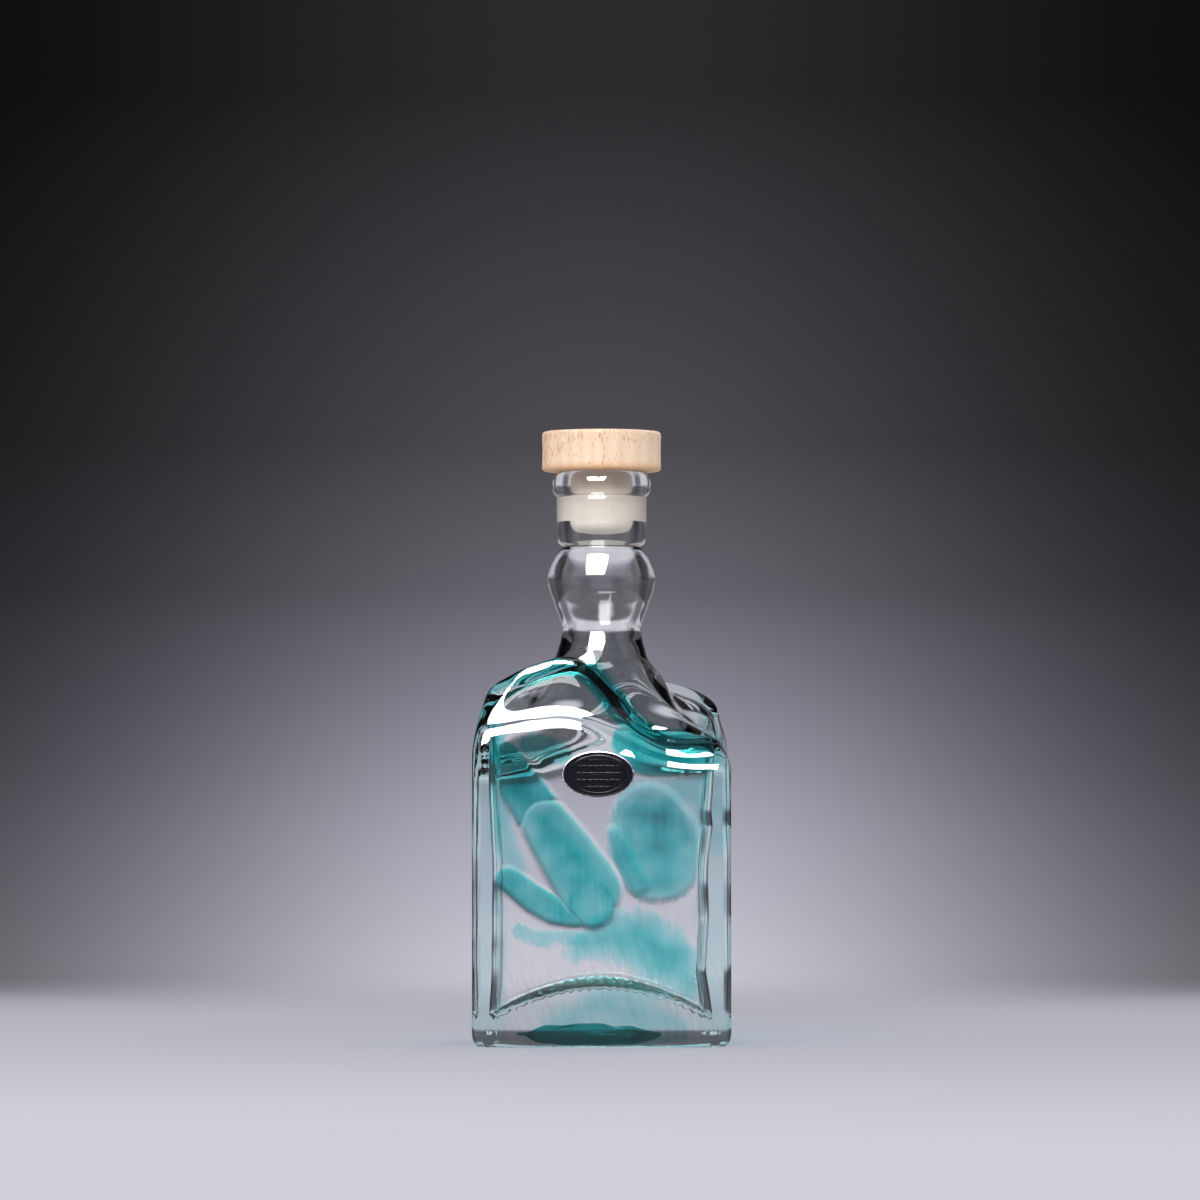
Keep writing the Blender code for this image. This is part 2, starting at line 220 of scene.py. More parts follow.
def closed_surface(name: str, grid: Array, first_pole: Triple, last_pole: Triple) -> Piece:
    """A closed mesh from a grid of rings and a point that closes each end.

    Each ring joins the next by quads, and each end ring joins its pole by triangles.

    Args:
        name: The object's name.
        grid: Points, as rings by columns by x, y and z.
        first_pole: The point inside the first ring.
        last_pole: The point inside the last ring.

    Returns:
        The object, shaded smooth.
    """
    rings, columns = grid.shape[:2]
    points = np.vstack([grid.reshape(-1, 3), first_pole, last_pole])
    lower = np.arange(rings - 1)[:, None] * columns + np.arange(columns)
    upper = lower + columns
    quads = np.stack([lower, np.roll(lower, -1, 1), np.roll(upper, -1, 1), upper], axis=-1).reshape(-1, 4)
    first, last = lower[0], upper[-1]
    poles = np.full(columns, rings * columns)
    first_fan = np.column_stack([np.roll(first, -1), first, poles])
    last_fan = np.column_stack([last, np.roll(last, -1), poles + 1])
    fans = np.vstack([first_fan, last_fan])
    corners = np.concatenate([quads.ravel(), fans.ravel()])
    starts = np.concatenate([np.arange(len(quads)) * 4, len(quads) * 4 + np.arange(len(fans)) * 3])
    mesh = bpy.data.meshes.new(name)
    mesh.vertices.add(len(points))
    mesh.vertices.foreach_set("co", points.astype(np.float32).ravel())
    mesh.loops.add(len(corners))
    mesh.loops.foreach_set("vertex_index", corners.astype(np.int32))
    mesh.polygons.add(len(starts))
    mesh.polygons.foreach_set("loop_start", starts.astype(np.int32))
    mesh.update(calc_edges=True)
    mesh.validate()
    mesh.shade_smooth()
    piece = bpy.data.objects.new(name, mesh)
    bpy.context.scene.collection.objects.link(piece)
    return piece


def full_turn(count: int) -> Array:
    """Evenly spaced angles, once round."""
    return 2 * math.pi * np.arange(count) / count


def straight(first: Pair, last: Pair, count: int) -> Array:
    """Rows of across and up, evenly spaced from the first to the last."""
    return np.column_stack([np.linspace(first[0], last[0], count), np.linspace(first[1], last[1], count)])


def turned_grid(profile: Array, columns: int) -> Array:
    """A turned surface: the profile of radius and height carried round the Z axis.

    Args:
        profile: Radius and height of each row.
        columns: Points round each ring.

    Returns:
        Points, as rows by columns by x, y and z.
    """
    turn = full_turn(columns)
    radius, height = profile[:, :1], profile[:, 1:]
    return np.stack(np.broadcast_arrays(radius * np.cos(turn), radius * np.sin(turn), height), axis=-1)


def arc(centre: Pair, radii: Pair, turn: Pair, steps: int) -> Array:
    """Points on an arc of an ellipse: the centre plus each radius times the cosine and sine of the turn.

    Args:
        centre: Across and up.
        radii: Across and up.
        turn: First and last angle, in degrees.
        steps: Spaces between the points.

    Returns:
        Rows of across and up.
    """
    angle = np.radians(np.linspace(turn[0], turn[1], steps + 1))
    return np.column_stack([centre[0] + radii[0] * np.cos(angle), centre[1] + radii[1] * np.sin(angle)])


def set_attribute(piece: Piece, name: str, values: Array) -> None:
    """Writes one value for each point of a piece as a float attribute.

    Args:
        piece: The object.
        name: The attribute's name.
        values: As many values as the mesh has points.
    """
    attribute = piece.data.attributes.new(name, "FLOAT", "POINT")
    attribute.data.foreach_set("value", values.astype(np.float32))


def mesh_points(piece: Piece) -> Array:
    """The points of a piece's mesh.

    Args:
        piece: The object.

    Returns:
        Points, as rows of x, y and z.
    """
    flat = np.empty(len(piece.data.vertices) * 3, np.float32)
    piece.data.vertices.foreach_get("co", flat)
    return flat.reshape(-1, 3).astype(float)


def fit_piece(piece: Piece, body: Body, slot: Slot, finish: Material, *nodes: str) -> None:
    """Gives a piece its finish and body, and says which nodes it stands for.

    Args:
        piece: The object.
        body: The body that it rides on.
        slot: The record's material slot; not used.
        finish: The material.
        nodes: Names of the nodes that it replaces.
    """
    piece.data.materials.append(finish)
    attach(piece, body.value)
    if nodes:
        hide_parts(*nodes)
    count = len(piece.data.vertices)
    LOG.info("%s: %d points on %s, for %s", piece.name, count, body.value, nodes or "no node")


@dataclass(frozen=True)
class Stroke:
    """A pool of coloured glass in a wall: a round brush carried along a line, thick or thin.

    The line's points lie along the wall and its radii go with them, all in millimetres. The colour's
    depth goes from the rim's to the core's over the reach, and the relief is how far it stands proud.
    """

    name: str
    wall: Wall
    line: tuple[Pair, ...]
    radii: tuple[float, ...]
    rim: float
    core: float
    reach: float = 6.0
    edge: float = 0.5
    feather: float = 0.3
    relief: float = 0.0
    cut_end: bool = False

    def signed_distance(self, points: Array) -> Array:
        """How far each point is outside the stroke, in millimetres, less than nothing inside it.

        The distance is the least one from a point to the brush's line, less the radius there. A cut end
        is square to the line, and off the stroke's own wall the distance is large.

        Args:
            points: Places in metres.

        Returns:
            One distance for each place.
        """
        first, second, through, side, start = self.wall.value
        knots = np.linspace(0.0, 1.0, len(self.line))
        steps = np.linspace(0.0, 1.0, LINE_STEPS * len(self.line))
        line = np.column_stack([np.interp(steps, knots, np.array(self.line)[:, axis]) for axis in (0, 1)])
        radii = np.interp(steps, knots, self.radii)
        half = LINE_WINDOW // 2
        for axis in (0, 1):
            line[half:-half, axis] = np.convolve(line[:, axis], np.ones(LINE_WINDOW) / LINE_WINDOW, "valid")
        flat = points[:, [first, second]] / MM
        gaps = (np.linalg.norm(flat[:, None] - line[None], axis=2) - radii).min(axis=1)
        if self.cut_end:
            heading = (line[-1] - line[-5]) / np.linalg.norm(line[-1] - line[-5])
            gaps = np.maximum(gaps, (flat - line[-1]) @ heading)
        off_wall = (start - side * points[:, through] / MM) * 2.0
        return np.maximum(gaps, off_wall)


FRONT, BACK, LEFT, RIGHT, FLOOR = Wall
SWIRLS = (
    Stroke(
        "left_wash", LEFT, ((0.0, 112.0), (0.0, 60.0), (0.0, 8.0)), (40.0, 40.0, 40.0), rim=0.06, core=0.08,
        edge=3.0, feather=3.0,
    ),
    Stroke(
        "right_wash", RIGHT, ((0.0, 108.0), (0.0, 60.0), (0.0, 8.0)), (40.0, 40.0, 40.0), rim=0.06,
        core=0.08, edge=3.0, feather=3.0,
    ),
    Stroke(
        "left_side", LEFT, ((-18.0, 112.0), (-12.0, 98.0), (-2.0, 84.0)), (14.0, 13.0, 7.0), rim=0.5,
        core=0.80, edge=1.2, feather=1.4,
    ),
    Stroke(
        "left_fleck", LEFT, ((-22.0, 62.0), (-20.0, 52.0)), (3.0, 2.6), rim=0.6, core=0.78, edge=0.8,
        feather=0.8,
    ),
    Stroke(
        "right_side", RIGHT, ((-16.0, 108.0), (4.0, 92.0), (12.0, 72.0)), (9.0, 9.0, 6.0), rim=0.36,
        core=0.56, edge=1.2, feather=1.4,
    ),
    Stroke(
        "pool_shoulder", BACK, ((10.0, 95.0), (26.0, 95.0), (43.0, 94.0), (43.0, 78.0)),
        (4.0, 6.0, 10.0, 7.0), rim=0.18, core=0.33, edge=1.2, feather=1.4,
    ),
    Stroke(
        "round_pool", BACK, ((18.0, 83.0), (20.5, 74.5), (21.5, 69.0)), (14.5, 17.8, 16.0), rim=0.34,
        core=0.60, edge=1.4, feather=2.2, relief=0.06,
    ),
    Stroke(
        "pool_eye", BACK, ((20.0, 81.5), (20.2, 78.5)), (12.4, 13.2), rim=0.62, core=0.76, reach=8.0,
        edge=1.0, feather=0.5, relief=0.04,
    ),
    Stroke(
        "low_cloud", BACK, ((-9.0, 35.0), (4.0, 41.0), (18.0, 37.0), (28.0, 29.0), (34.0, 20.0)),
        (5.0, 9.5, 12.0, 9.5, 6.0), rim=0.22, core=0.60, reach=8.0, edge=1.6, feather=3.4,
    ),
    Stroke(
        "cloud_heart", BACK, ((14.0, 39.0), (25.0, 31.0)), (6.0, 7.0), rim=0.50, core=0.68, reach=5.0,
        edge=2.0, feather=2.6,
    ),
    Stroke(
        "left_veil", FRONT, ((-38.0, 96.0), (-38.0, 78.0), (-31.0, 66.0)), (3.0, 5.6, 3.4), rim=0.16,
        core=0.30, reach=5.0, edge=1.8, feather=1.0,
    ),
    Stroke(
        "low_wisp", FRONT, ((-31.0, 43.5), (-22.0, 40.0), (-14.0, 41.5), (-6.0, 40.0)), (2.0, 3.2, 2.2, 1.5),
        rim=0.24, core=0.32, reach=3.0, edge=0.8, feather=1.8,
    ),
    Stroke(
        "slim_trail", FRONT, ((4.5, 80.0), (8.5, 71.0), (14.0, 60.5)), (2.0, 3.0, 3.4), rim=0.20, core=0.26,
        edge=1.2, feather=0.6, relief=0.05,
    ),
    Stroke(
        "upper_reed", FRONT, ((-36.0, 107.0), (-30.0, 96.5), (-23.6, 87.4)), (6.4, 7.8, 8.6), rim=0.54,
        core=0.74, edge=0.9, feather=0.6, relief=0.06, cut_end=True,
    ),
    Stroke(
        "lower_band", FRONT,
        ((-35.0, 62.4), (-30.0, 59.0), (-24.5, 54.6), (-17.8, 51.0), (-11.8, 49.3), (-8.2, 48.7)),
        (4.2, 4.6, 4.9, 5.0, 4.2, 3.6), rim=0.62, core=0.60, reach=3.5, edge=0.8, feather=0.4, relief=0.08,
    ),
    Stroke(
        "long_lobe", FRONT, ((-20.8, 83.2), (-13.6, 72.4), (-7.0, 62.6), (-4.5, 58.6)),
        (8.8, 10.4, 11.2, 11.5), rim=0.38, core=0.68, reach=8.0, edge=0.8, feather=0.4, relief=0.10,
    ),
    Stroke(
        "lobe_end", FRONT, ((-3.9, 53.6), (-3.3, 52.8)), (8.3, 8.3), rim=0.68, core=0.46, reach=4.5,
        edge=0.9, feather=0.8, relief=0.10,
    ),
    Stroke(
        "left_shoulder", FRONT, ((-27.0, 112.0), (-20.0, 110.5), (-15.0, 109.5)), (4.0, 5.0, 4.0), rim=0.34,
        core=0.56, edge=1.2, feather=1.0,
    ),
    Stroke(
        "right_shoulder", FRONT, ((9.0, 114.0), (14.0, 109.0), (24.0, 107.6), (39.0, 108.0)),
        (5.5, 7.6, 6.8, 5.4), rim=0.56, core=0.70, edge=0.8, feather=0.8,
    ),
    Stroke(
        "under_arch", BACK, ((-16.0, 7.0), (0.0, 14.0), (16.0, 12.0), (30.0, 6.0)), (5.0, 8.5, 8.0, 4.0),
        rim=0.26, core=0.50, reach=6.0, edge=3.0, feather=3.0,
    ),
    Stroke(
        "floor_pool", FLOOR, ((-10.0, 0.0), (6.0, 0.0), (20.0, -2.0)), (14.0, 18.0, 12.0), rim=0.16,
        core=0.40, reach=8.0, edge=2.0, feather=2.0,
    ),
)


@dataclass(frozen=True)
class BlownGlass:
    """Soda-lime glass, blown and fire polished, with teal colour rolled into its walls.

    To the eye it is clear and wet-looking, a little green where it is looked through edgeways, with pools
    of teal that have crisp rims where one gather lies on another and brushed ends where it was drawn out.
    """

    tints: tuple[tuple[float, str], ...] = (
        (0.0, "#FFFFFF"), (1.0, "#149F9D"), (0.2, "#CDFAFA"), (0.4, "#9DEFEE"), (0.6, "#6BE0DE"),
        (0.75, "#40D2D2"), (0.88, "#22BCBB"),
    )
    shadow_tint: str = "#F2FBFA"
    body_tint: tuple[float, float, float, float] = (0.0, 0.66, 0.62, 1.0)
    body_density: float = 1.5
    refraction: float = 1.5
    brush_width: float = 1.5 * MM
    brush_length: float = 19.0 * MM
    puff_size: float = 8.5 * MM
    cloud_size: float = 9.0 * MM
    veil_top: float = 66.0 * MM
    veil_bottom: float = 20.0 * MM
    veil_depth: float = 0.5
    veil_slant: float = 20.0
    rim_width: float = 2.0
    puff_height: float = 0.08 * MM
    puff_shade: float = 0.75
    least_shade: float = 0.66
    cloud_shade: float = 0.8
    streak_shade: float = 0.45
    feathering: float = 3.0

    def unevenness(self, tree: Tree) -> tuple[Source, Source, Source, Source]:
        """Adds the patterns that the colour is roughened by.

        Args:
            tree: The material's tree.

        Returns:
            The place's vector, brushed streaks and clouds that lie about nothing, and rounded puffs.
        """
        place = add(tree, "TexCoord").outputs["Object"]
        width, length = 1 / self.brush_width, 1 / self.brush_length
        drawn = add(tree, "Mapping", {"Vector": place, "Scale": (width, width, length)})
        brushed = add(tree, "TexNoise", {"Vector": drawn, "Scale": 1.0, "Detail": 3.0})
        cloudy = add(tree, "TexNoise", {"Vector": place, "Scale": 1 / self.cloud_size, "Detail": 4.0})
        puffs = add(tree, "TexVoronoi", {
            "Vector": place, "Scale": 1 / self.puff_size, "Smoothness": 0.7,
        }, feature="SMOOTH_F1")
        streaks = add(tree, "Math", {0: brushed, 1: 0.5}, operation="SUBTRACT")
        clouds = add(tree, "Math", {0: cloudy, 1: 0.5}, operation="SUBTRACT")
        return place, streaks, clouds, puffs

    def paint(self, tree: Tree, stroke: Stroke, uneven: Source, under: Source) -> tuple[Source, Source]:
        """Adds one stroke's depth of colour over what is under it: from its rim's to its core's, inside it.

        Args:
            tree: The material's tree.
            stroke: The stroke.
            uneven: The pattern that roughens its edge.
            under: The depth that shows outside it.

        Returns:
            The depth, and the stroke's own distance.
        """
        reading = add(tree, "Attribute", attribute_name=stroke.name).outputs["Fac"]
        ragged = add(tree, "Math", {
            0: uneven, 1: stroke.feather * self.feathering, 2: reading,
        }, operation="MULTIPLY_ADD")
        inside = add(tree, "MapRange", {
            "Value": ragged, "From Min": stroke.edge, "From Max": -stroke.edge,
        }, **SMOOTH)
        strength = add(tree, "MapRange", {
            "Value": ragged, "From Max": -stroke.reach, "To Min": stroke.rim, "To Max": stroke.core,
        })
        painted = add(tree, "Mix", {"Factor": inside, 2: under, 3: strength}, data_type="FLOAT")
        return painted, reading

    def build(self) -> Material:
        """Makes the material: the strokes' distances, roughened by brushed noise, give the depth of colour.

        The strokes that stand proud also tilt the surface along their rims, and the puffs do a little.

        Returns:
            The material.
        """
        material, tree = fresh_material("blown_soda_glass")
        place, streaks, clouds, puffs = self.unevenness(tree)
        uneven = add(tree, "Math", {0: streaks, 1: clouds}, operation="ADD")
        depth, relief = (add(tree, "Value"), add(tree, "Value"))
        for stroke in SWIRLS:
            depth, reading = self.paint(tree, stroke, uneven, depth)
            if stroke.relief > 0:
                rise = add(tree, "MapRange", {
                    "Value": reading, "From Min": self.rim_width, "From Max": -self.rim_width,
                    "To Max": stroke.relief * MM,
                }, **SMOOTH)
                relief = add(tree, "Math", {0: relief, 1: rise}, operation="MAXIMUM")
        puffy = add(tree, "Math", {0: puffs, 1: depth}, operation="MULTIPLY")
        relief = add(tree, "Math", {0: puffy, 1: self.puff_height, 2: relief}, operation="MULTIPLY_ADD")
        tilted = add(tree, "Bump", {"Height": relief, "Strength": 1.0, "Distance": 1.0})
        fold = add(tree, "Attribute", attribute_name="fold").outputs["Fac"]
        depth = add(tree, "Math", {0: depth, 1: fold}, operation="MAXIMUM")
        puffed = add(tree, "Math", {
            0: puffs, 1: self.puff_shade, 2: self.least_shade,
        }, operation="MULTIPLY_ADD")
        clouded = add(tree, "Math", {0: clouds, 1: self.cloud_shade, 2: puffed}, operation="MULTIPLY_ADD")
        shaded = add(tree, "Math", {0: streaks, 1: self.streak_shade, 2: clouded}, operation="MULTIPLY_ADD")
        depth = add(tree, "Math", {0: depth, 1: shaded}, operation="MULTIPLY", use_clamp=True)
        ramp = add(tree, "ValToRGB", {"Fac": depth}, ramp=self.tints)
        height = add(tree, "SeparateXYZ", {0: place}).outputs["Z"]
        low_down = add(tree, "MapRange", {
            "Value": height, "From Min": self.veil_top, "From Max": self.veil_bottom,
            "To Max": self.veil_depth,
        }, **SMOOTH)
        slanted = add(tree, "Mapping", {
            "Vector": place, "Rotation": (0.0, math.radians(-self.veil_slant), 0.0),
            "Scale": (self.brush_width, self.brush_width, self.brush_length),
        }, vector_type="TEXTURE")
        fan = add(tree, "TexNoise", {"Vector": slanted, "Scale": 1.0, "Detail": 3.0})
        fan = add(tree, "Math", {0: fan, 1: 0.5}, operation="SUBTRACT")
        veil = add(tree, "Math", {0: fan, 1: low_down}, operation="MULTIPLY")
        veil = add(tree, "Math", {0: veil, 1: 1.0}, operation="ADD", use_clamp=True)
        colour = add(tree, "VectorMath", {0: ramp, "Scale": veil}, operation="SCALE")
        surface = add(tree, "BsdfPrincipled", {
            "Base Color": colour, "Normal": tilted, "Roughness": 0.0, "IOR": self.refraction,
            "Transmission Weight": 1.0,
        })
        see_through = add(tree, "BsdfTransparent", {"Color": self.shadow_tint})
        light_path = add(tree, "LightPath")
        mixed = add(tree, "MixShader", {0: light_path.outputs["Is Shadow Ray"], 1: surface, 2: see_through})
        absorption = add(tree, "VolumeAbsorption", {"Color": self.body_tint, "Density": self.body_density})
        add(tree, "OutputMaterial", {"Surface": mixed, "Volume": absorption})
        return material


@dataclass(frozen=True)
class TealPool:
    """Teal glass melted into the base: dark from the side; its crackled heart is a painted highlight."""

    dark: str = "#04A6A2"
    # painted highlight: the bright colour, strongest round the heart
    bright: str = "#A5F3EE"
    heart: Triple = (4.0 * MM, 0.0, 4.6 * MM)
    painted_highlight_size: float = 8.0 * MM
    crack_size: float = 2.2 * MM
    crack_contrast: float = 0.9

    def build(self) -> Material:
        """Makes the material: it only tints, because it is fused with the clear glass round it.

        Returns:
            The material.
        """
        material, tree = fresh_material("fused_teal_glass")
        place = add(tree, "TexCoord").outputs["Object"]
        noise = add(tree, "TexNoise", {"Vector": place, "Scale": 1 / self.crack_size, "Detail": 3.0})
        reach = add(tree, "VectorMath", {0: place, 1: self.heart}, operation="DISTANCE").outputs["Value"]
        # painted highlight: the bright colour's share rises towards the heart
        near = add(tree, "MapRange", {
            "Value": reach, "From Min": self.painted_highlight_size, "From Max": 0.0, "To Min": -0.25, "To Max": 0.62,
        }, **SMOOTH)
        crackled = add(tree, "Math", {0: noise, 1: self.crack_contrast, 2: near}, operation="MULTIPLY_ADD")
        share = add(tree, "MapRange", {"Value": crackled, "From Min": 0.45, "From Max": 0.95})
        colour = add(tree, "Mix", {
            "Factor": share, 6: self.dark, 7: self.bright,
        }, data_type="RGBA").outputs[2]
        surface = add(tree, "BsdfPrincipled", {
            "Base Color": colour, "Roughness": 0.0, "IOR": 1.0, "Transmission Weight": 1.0,
        })
        add(tree, "OutputMaterial", {"Surface": surface})
        return material


@dataclass(frozen=True)
class TurnedBeech:
    """European beech, turned across the dowel, sanded and sealed matt.

    It looks pale pink-gold with soft growth bands, and short darker flecks where the rays and pores are cut.
    """

    ground: str = "#F6D5B3"
    pale: str = "#FBE4CD"
    fleck: str = "#D0915A"
    # painted shade: a darker tan along the head's lower edge, where its rounding turns away from the light
    painted_edge_shade: str = "#EBB98C"
    painted_edge_shade_height: Pair = (216.6 * MM, 219.4 * MM)
    less_to_the_right: float = -1.8
    band_width: float = 5.0 * MM
    fleck_width: float = 0.42 * MM
    fleck_length: float = 2.6 * MM
    fleck_levels: Pair = (0.79, 0.90)
    pore_width: float = 0.16 * MM
    pore_length: float = 1.1 * MM
    pore_levels: Pair = (0.84, 0.98)
    crowd_size: float = 15.0 * MM
    crowding: float = 0.4

    def build(self) -> Material:
        """Makes the material: growth bands, with flecks and pores drawn out along the grain.

        Returns:
            The material.
        """
        material, tree = fresh_material("turned_sealed_beech")
        place = add(tree, "TexCoord").outputs["Object"]
        off_centre = add(tree, "Mapping", {
            "Vector": place, "Location": (0.031, 0.012, 0.0), "Scale": (1, 1, 0.12),
        })
        bands = add(tree, "TexWave", {
            "Vector": off_centre, "Scale": 0.32 / self.band_width, "Distortion": 3.5, "Detail": 2.0,
            "Detail Scale": 0.9,
        }, wave_type="RINGS", rings_direction="Z").outputs["Fac"]
        soft_bands = add(tree, "MapRange", {"Value": bands, "To Min": 0.1, "To Max": 0.8})
        aside, _, height = add(tree, "SeparateXYZ", {0: place}).outputs
        marks = []
        for width, length, (low, high) in (
            (self.fleck_width, self.fleck_length, self.fleck_levels),
            (self.pore_width, self.pore_length, self.pore_levels),
        ):
            grain = add(tree, "Mapping", {"Vector": place, "Scale": (1 / width, 1 / width, 1 / length)})
            spots = add(tree, "TexNoise", {"Vector": grain, "Scale": 1.0, "Detail": 1.0})
            cloud = add(tree, "TexNoise", {"Vector": place, "Scale": 1 / self.crowd_size, "Detail": 1.0})
            crowded = add(tree, "Math", {0: cloud, 1: self.crowding, 2: spots}, operation="MULTIPLY_ADD")
            crowded = add(tree, "Math", {
                0: aside, 1: self.less_to_the_right, 2: crowded,
            }, operation="MULTIPLY_ADD")
            marks.append(
                add(tree, "MapRange", {
                    "Value": crowded, "From Min": low, "From Max": high, "To Max": 0.8,
                }, **SMOOTH).outputs[0]
            )
        cut = add(tree, "Math", {0: marks[0], 1: marks[1]}, operation="MAXIMUM")
        tone = add(tree, "Mix", {
            "Factor": soft_bands, 6: self.ground, 7: self.pale,
        }, data_type="RGBA").outputs[2]
        # painted shade: the colour darkens towards the head's lower edge
        low, high = self.painted_edge_shade_height
        edge_shade_share = add(tree, "MapRange", {
            "Value": height, "From Min": high, "From Max": low, "To Max": 0.8,
        }, **SMOOTH)
        tone = add(tree, "Mix", {"Factor": edge_shade_share, 6: tone, 7: self.painted_edge_shade}, data_type="RGBA").outputs[2]
        colour = add(tree, "Mix", {"Factor": cut, 6: tone, 7: self.fleck}, data_type="RGBA").outputs[2]
        dents = add(tree, "Bump", {"Height": cut, "Strength": 0.2, "Distance": 0.08 * MM}, invert=True)
        surface = add(tree, "BsdfPrincipled", {
            "Base Color": colour, "Normal": dents, "Roughness": 0.5, "IOR": 1.5, "Specular IOR Level": 0.1,
        })
        add(tree, "OutputMaterial", {"Surface": surface})
        return material


@dataclass(frozen=True)
class FoamCork:
    """Foamed polyethylene cork, extruded and cut.

    It is cream and matt, with fine cells just showing; its top is darker with the head's painted shadow.
    """

    ground: str = "#FBEDE1"
    cell: str = "#F0DCCD"
    # painted shadow: the head's shadow on the shank's top, put into the colour as a darker band
    shaded: str = "#BBA798"
    painted_shadow_height: Pair = (207.2 * MM, 211.0 * MM)
    cell_size: float = 0.7 * MM

    def build(self) -> Material:
        """Makes the material: fine cells in the colour and the bump, and the head's painted shadow.

        Returns:
            The material.
        """
        material, tree = fresh_material("foamed_polyethylene_cork")
        place = add(tree, "TexCoord").outputs["Object"]
        cells = add(tree, "TexNoise", {"Vector": place, "Scale": 1 / self.cell_size, "Detail": 2.0})
        share = add(tree, "MapRange", {"Value": cells, "From Min": 0.48, "From Max": 0.75, "To Max": 0.7})
        colour = add(tree, "Mix", {
            "Factor": share, 6: self.ground, 7: self.cell,
        }, data_type="RGBA").outputs[2]
        # painted shadow of the head: the colour darkens towards the shank's top
        low, high = self.painted_shadow_height
        height = add(tree, "SeparateXYZ", {0: place}).outputs["Z"]
        up = add(tree, "MapRange", {"Value": height, "From Min": low, "From Max": high}, **SMOOTH)
        colour = add(tree, "Mix", {"Factor": up, 6: colour, 7: self.shaded}, data_type="RGBA").outputs[2]
        pits = add(tree, "Bump", {"Height": cells, "Strength": 0.2, "Distance": 0.08 * MM}, invert=True)
        surface = add(tree, "BsdfPrincipled", {
            "Base Color": colour, "Normal": pits, "Roughness": 0.72, "IOR": 1.49, "Specular IOR Level": 0.0,
        })
        add(tree, "OutputMaterial", {"Surface": surface})
        return material


@dataclass(frozen=True)
class PrintedFoil:
    """Aluminium foil on paper, printed near black and embossed, with a bare silver rim.

    It looks like dark satin, with a thin bright line round its edge.
    """

    print_colour: str = "#101017"
    silver: str = "#B9BAC2"
    rim_start: float = 0.965

    def build(self, half_width: float, half_height: float, centre: Pair) -> Material:
        """Makes the material: dark print inside an oval, bare metal outside it.

        Args:
            half_width: Half the sticker's width, in metres.
            half_height: Half its height.
            centre: Its middle, across and up.

        Returns:
            The material.
        """
        material, tree = fresh_material("printed_foil")
        place = add(tree, "TexCoord").outputs["Object"]
        oval = add(tree, "Mapping", {
            "Vector": place, "Location": (-centre[0] / half_width, 0.0, -centre[1] / half_height),
            "Scale": (1 / half_width, 0.0, 1 / half_height),
        })
        reach = add(tree, "VectorMath", {0: oval}, operation="LENGTH").outputs["Value"]
        bare = add(tree, "MapRange", {
            "Value": reach, "From Min": self.rim_start - 0.01, "From Max": self.rim_start + 0.01,
        })
        mottle = add(tree, "TexNoise", {"Vector": place, "Scale": 1 / (0.8 * MM), "Detail": 2.0})
        colour = add(tree, "Mix", {
            "Factor": bare, 6: self.print_colour, 7: self.silver,
        }, data_type="RGBA").outputs[2]
        rough = add(tree, "MapRange", {
            "Value": mottle, "From Min": 0.3, "From Max": 0.7, "To Min": 0.16, "To Max": 0.3,
        })
        surface = add(tree, "BsdfPrincipled", {
            "Base Color": colour, "Metallic": bare, "Roughness": rough, "IOR": 1.3,
            "Specular IOR Level": 0.3,
        })
        add(tree, "OutputMaterial", {"Surface": surface})
        return material


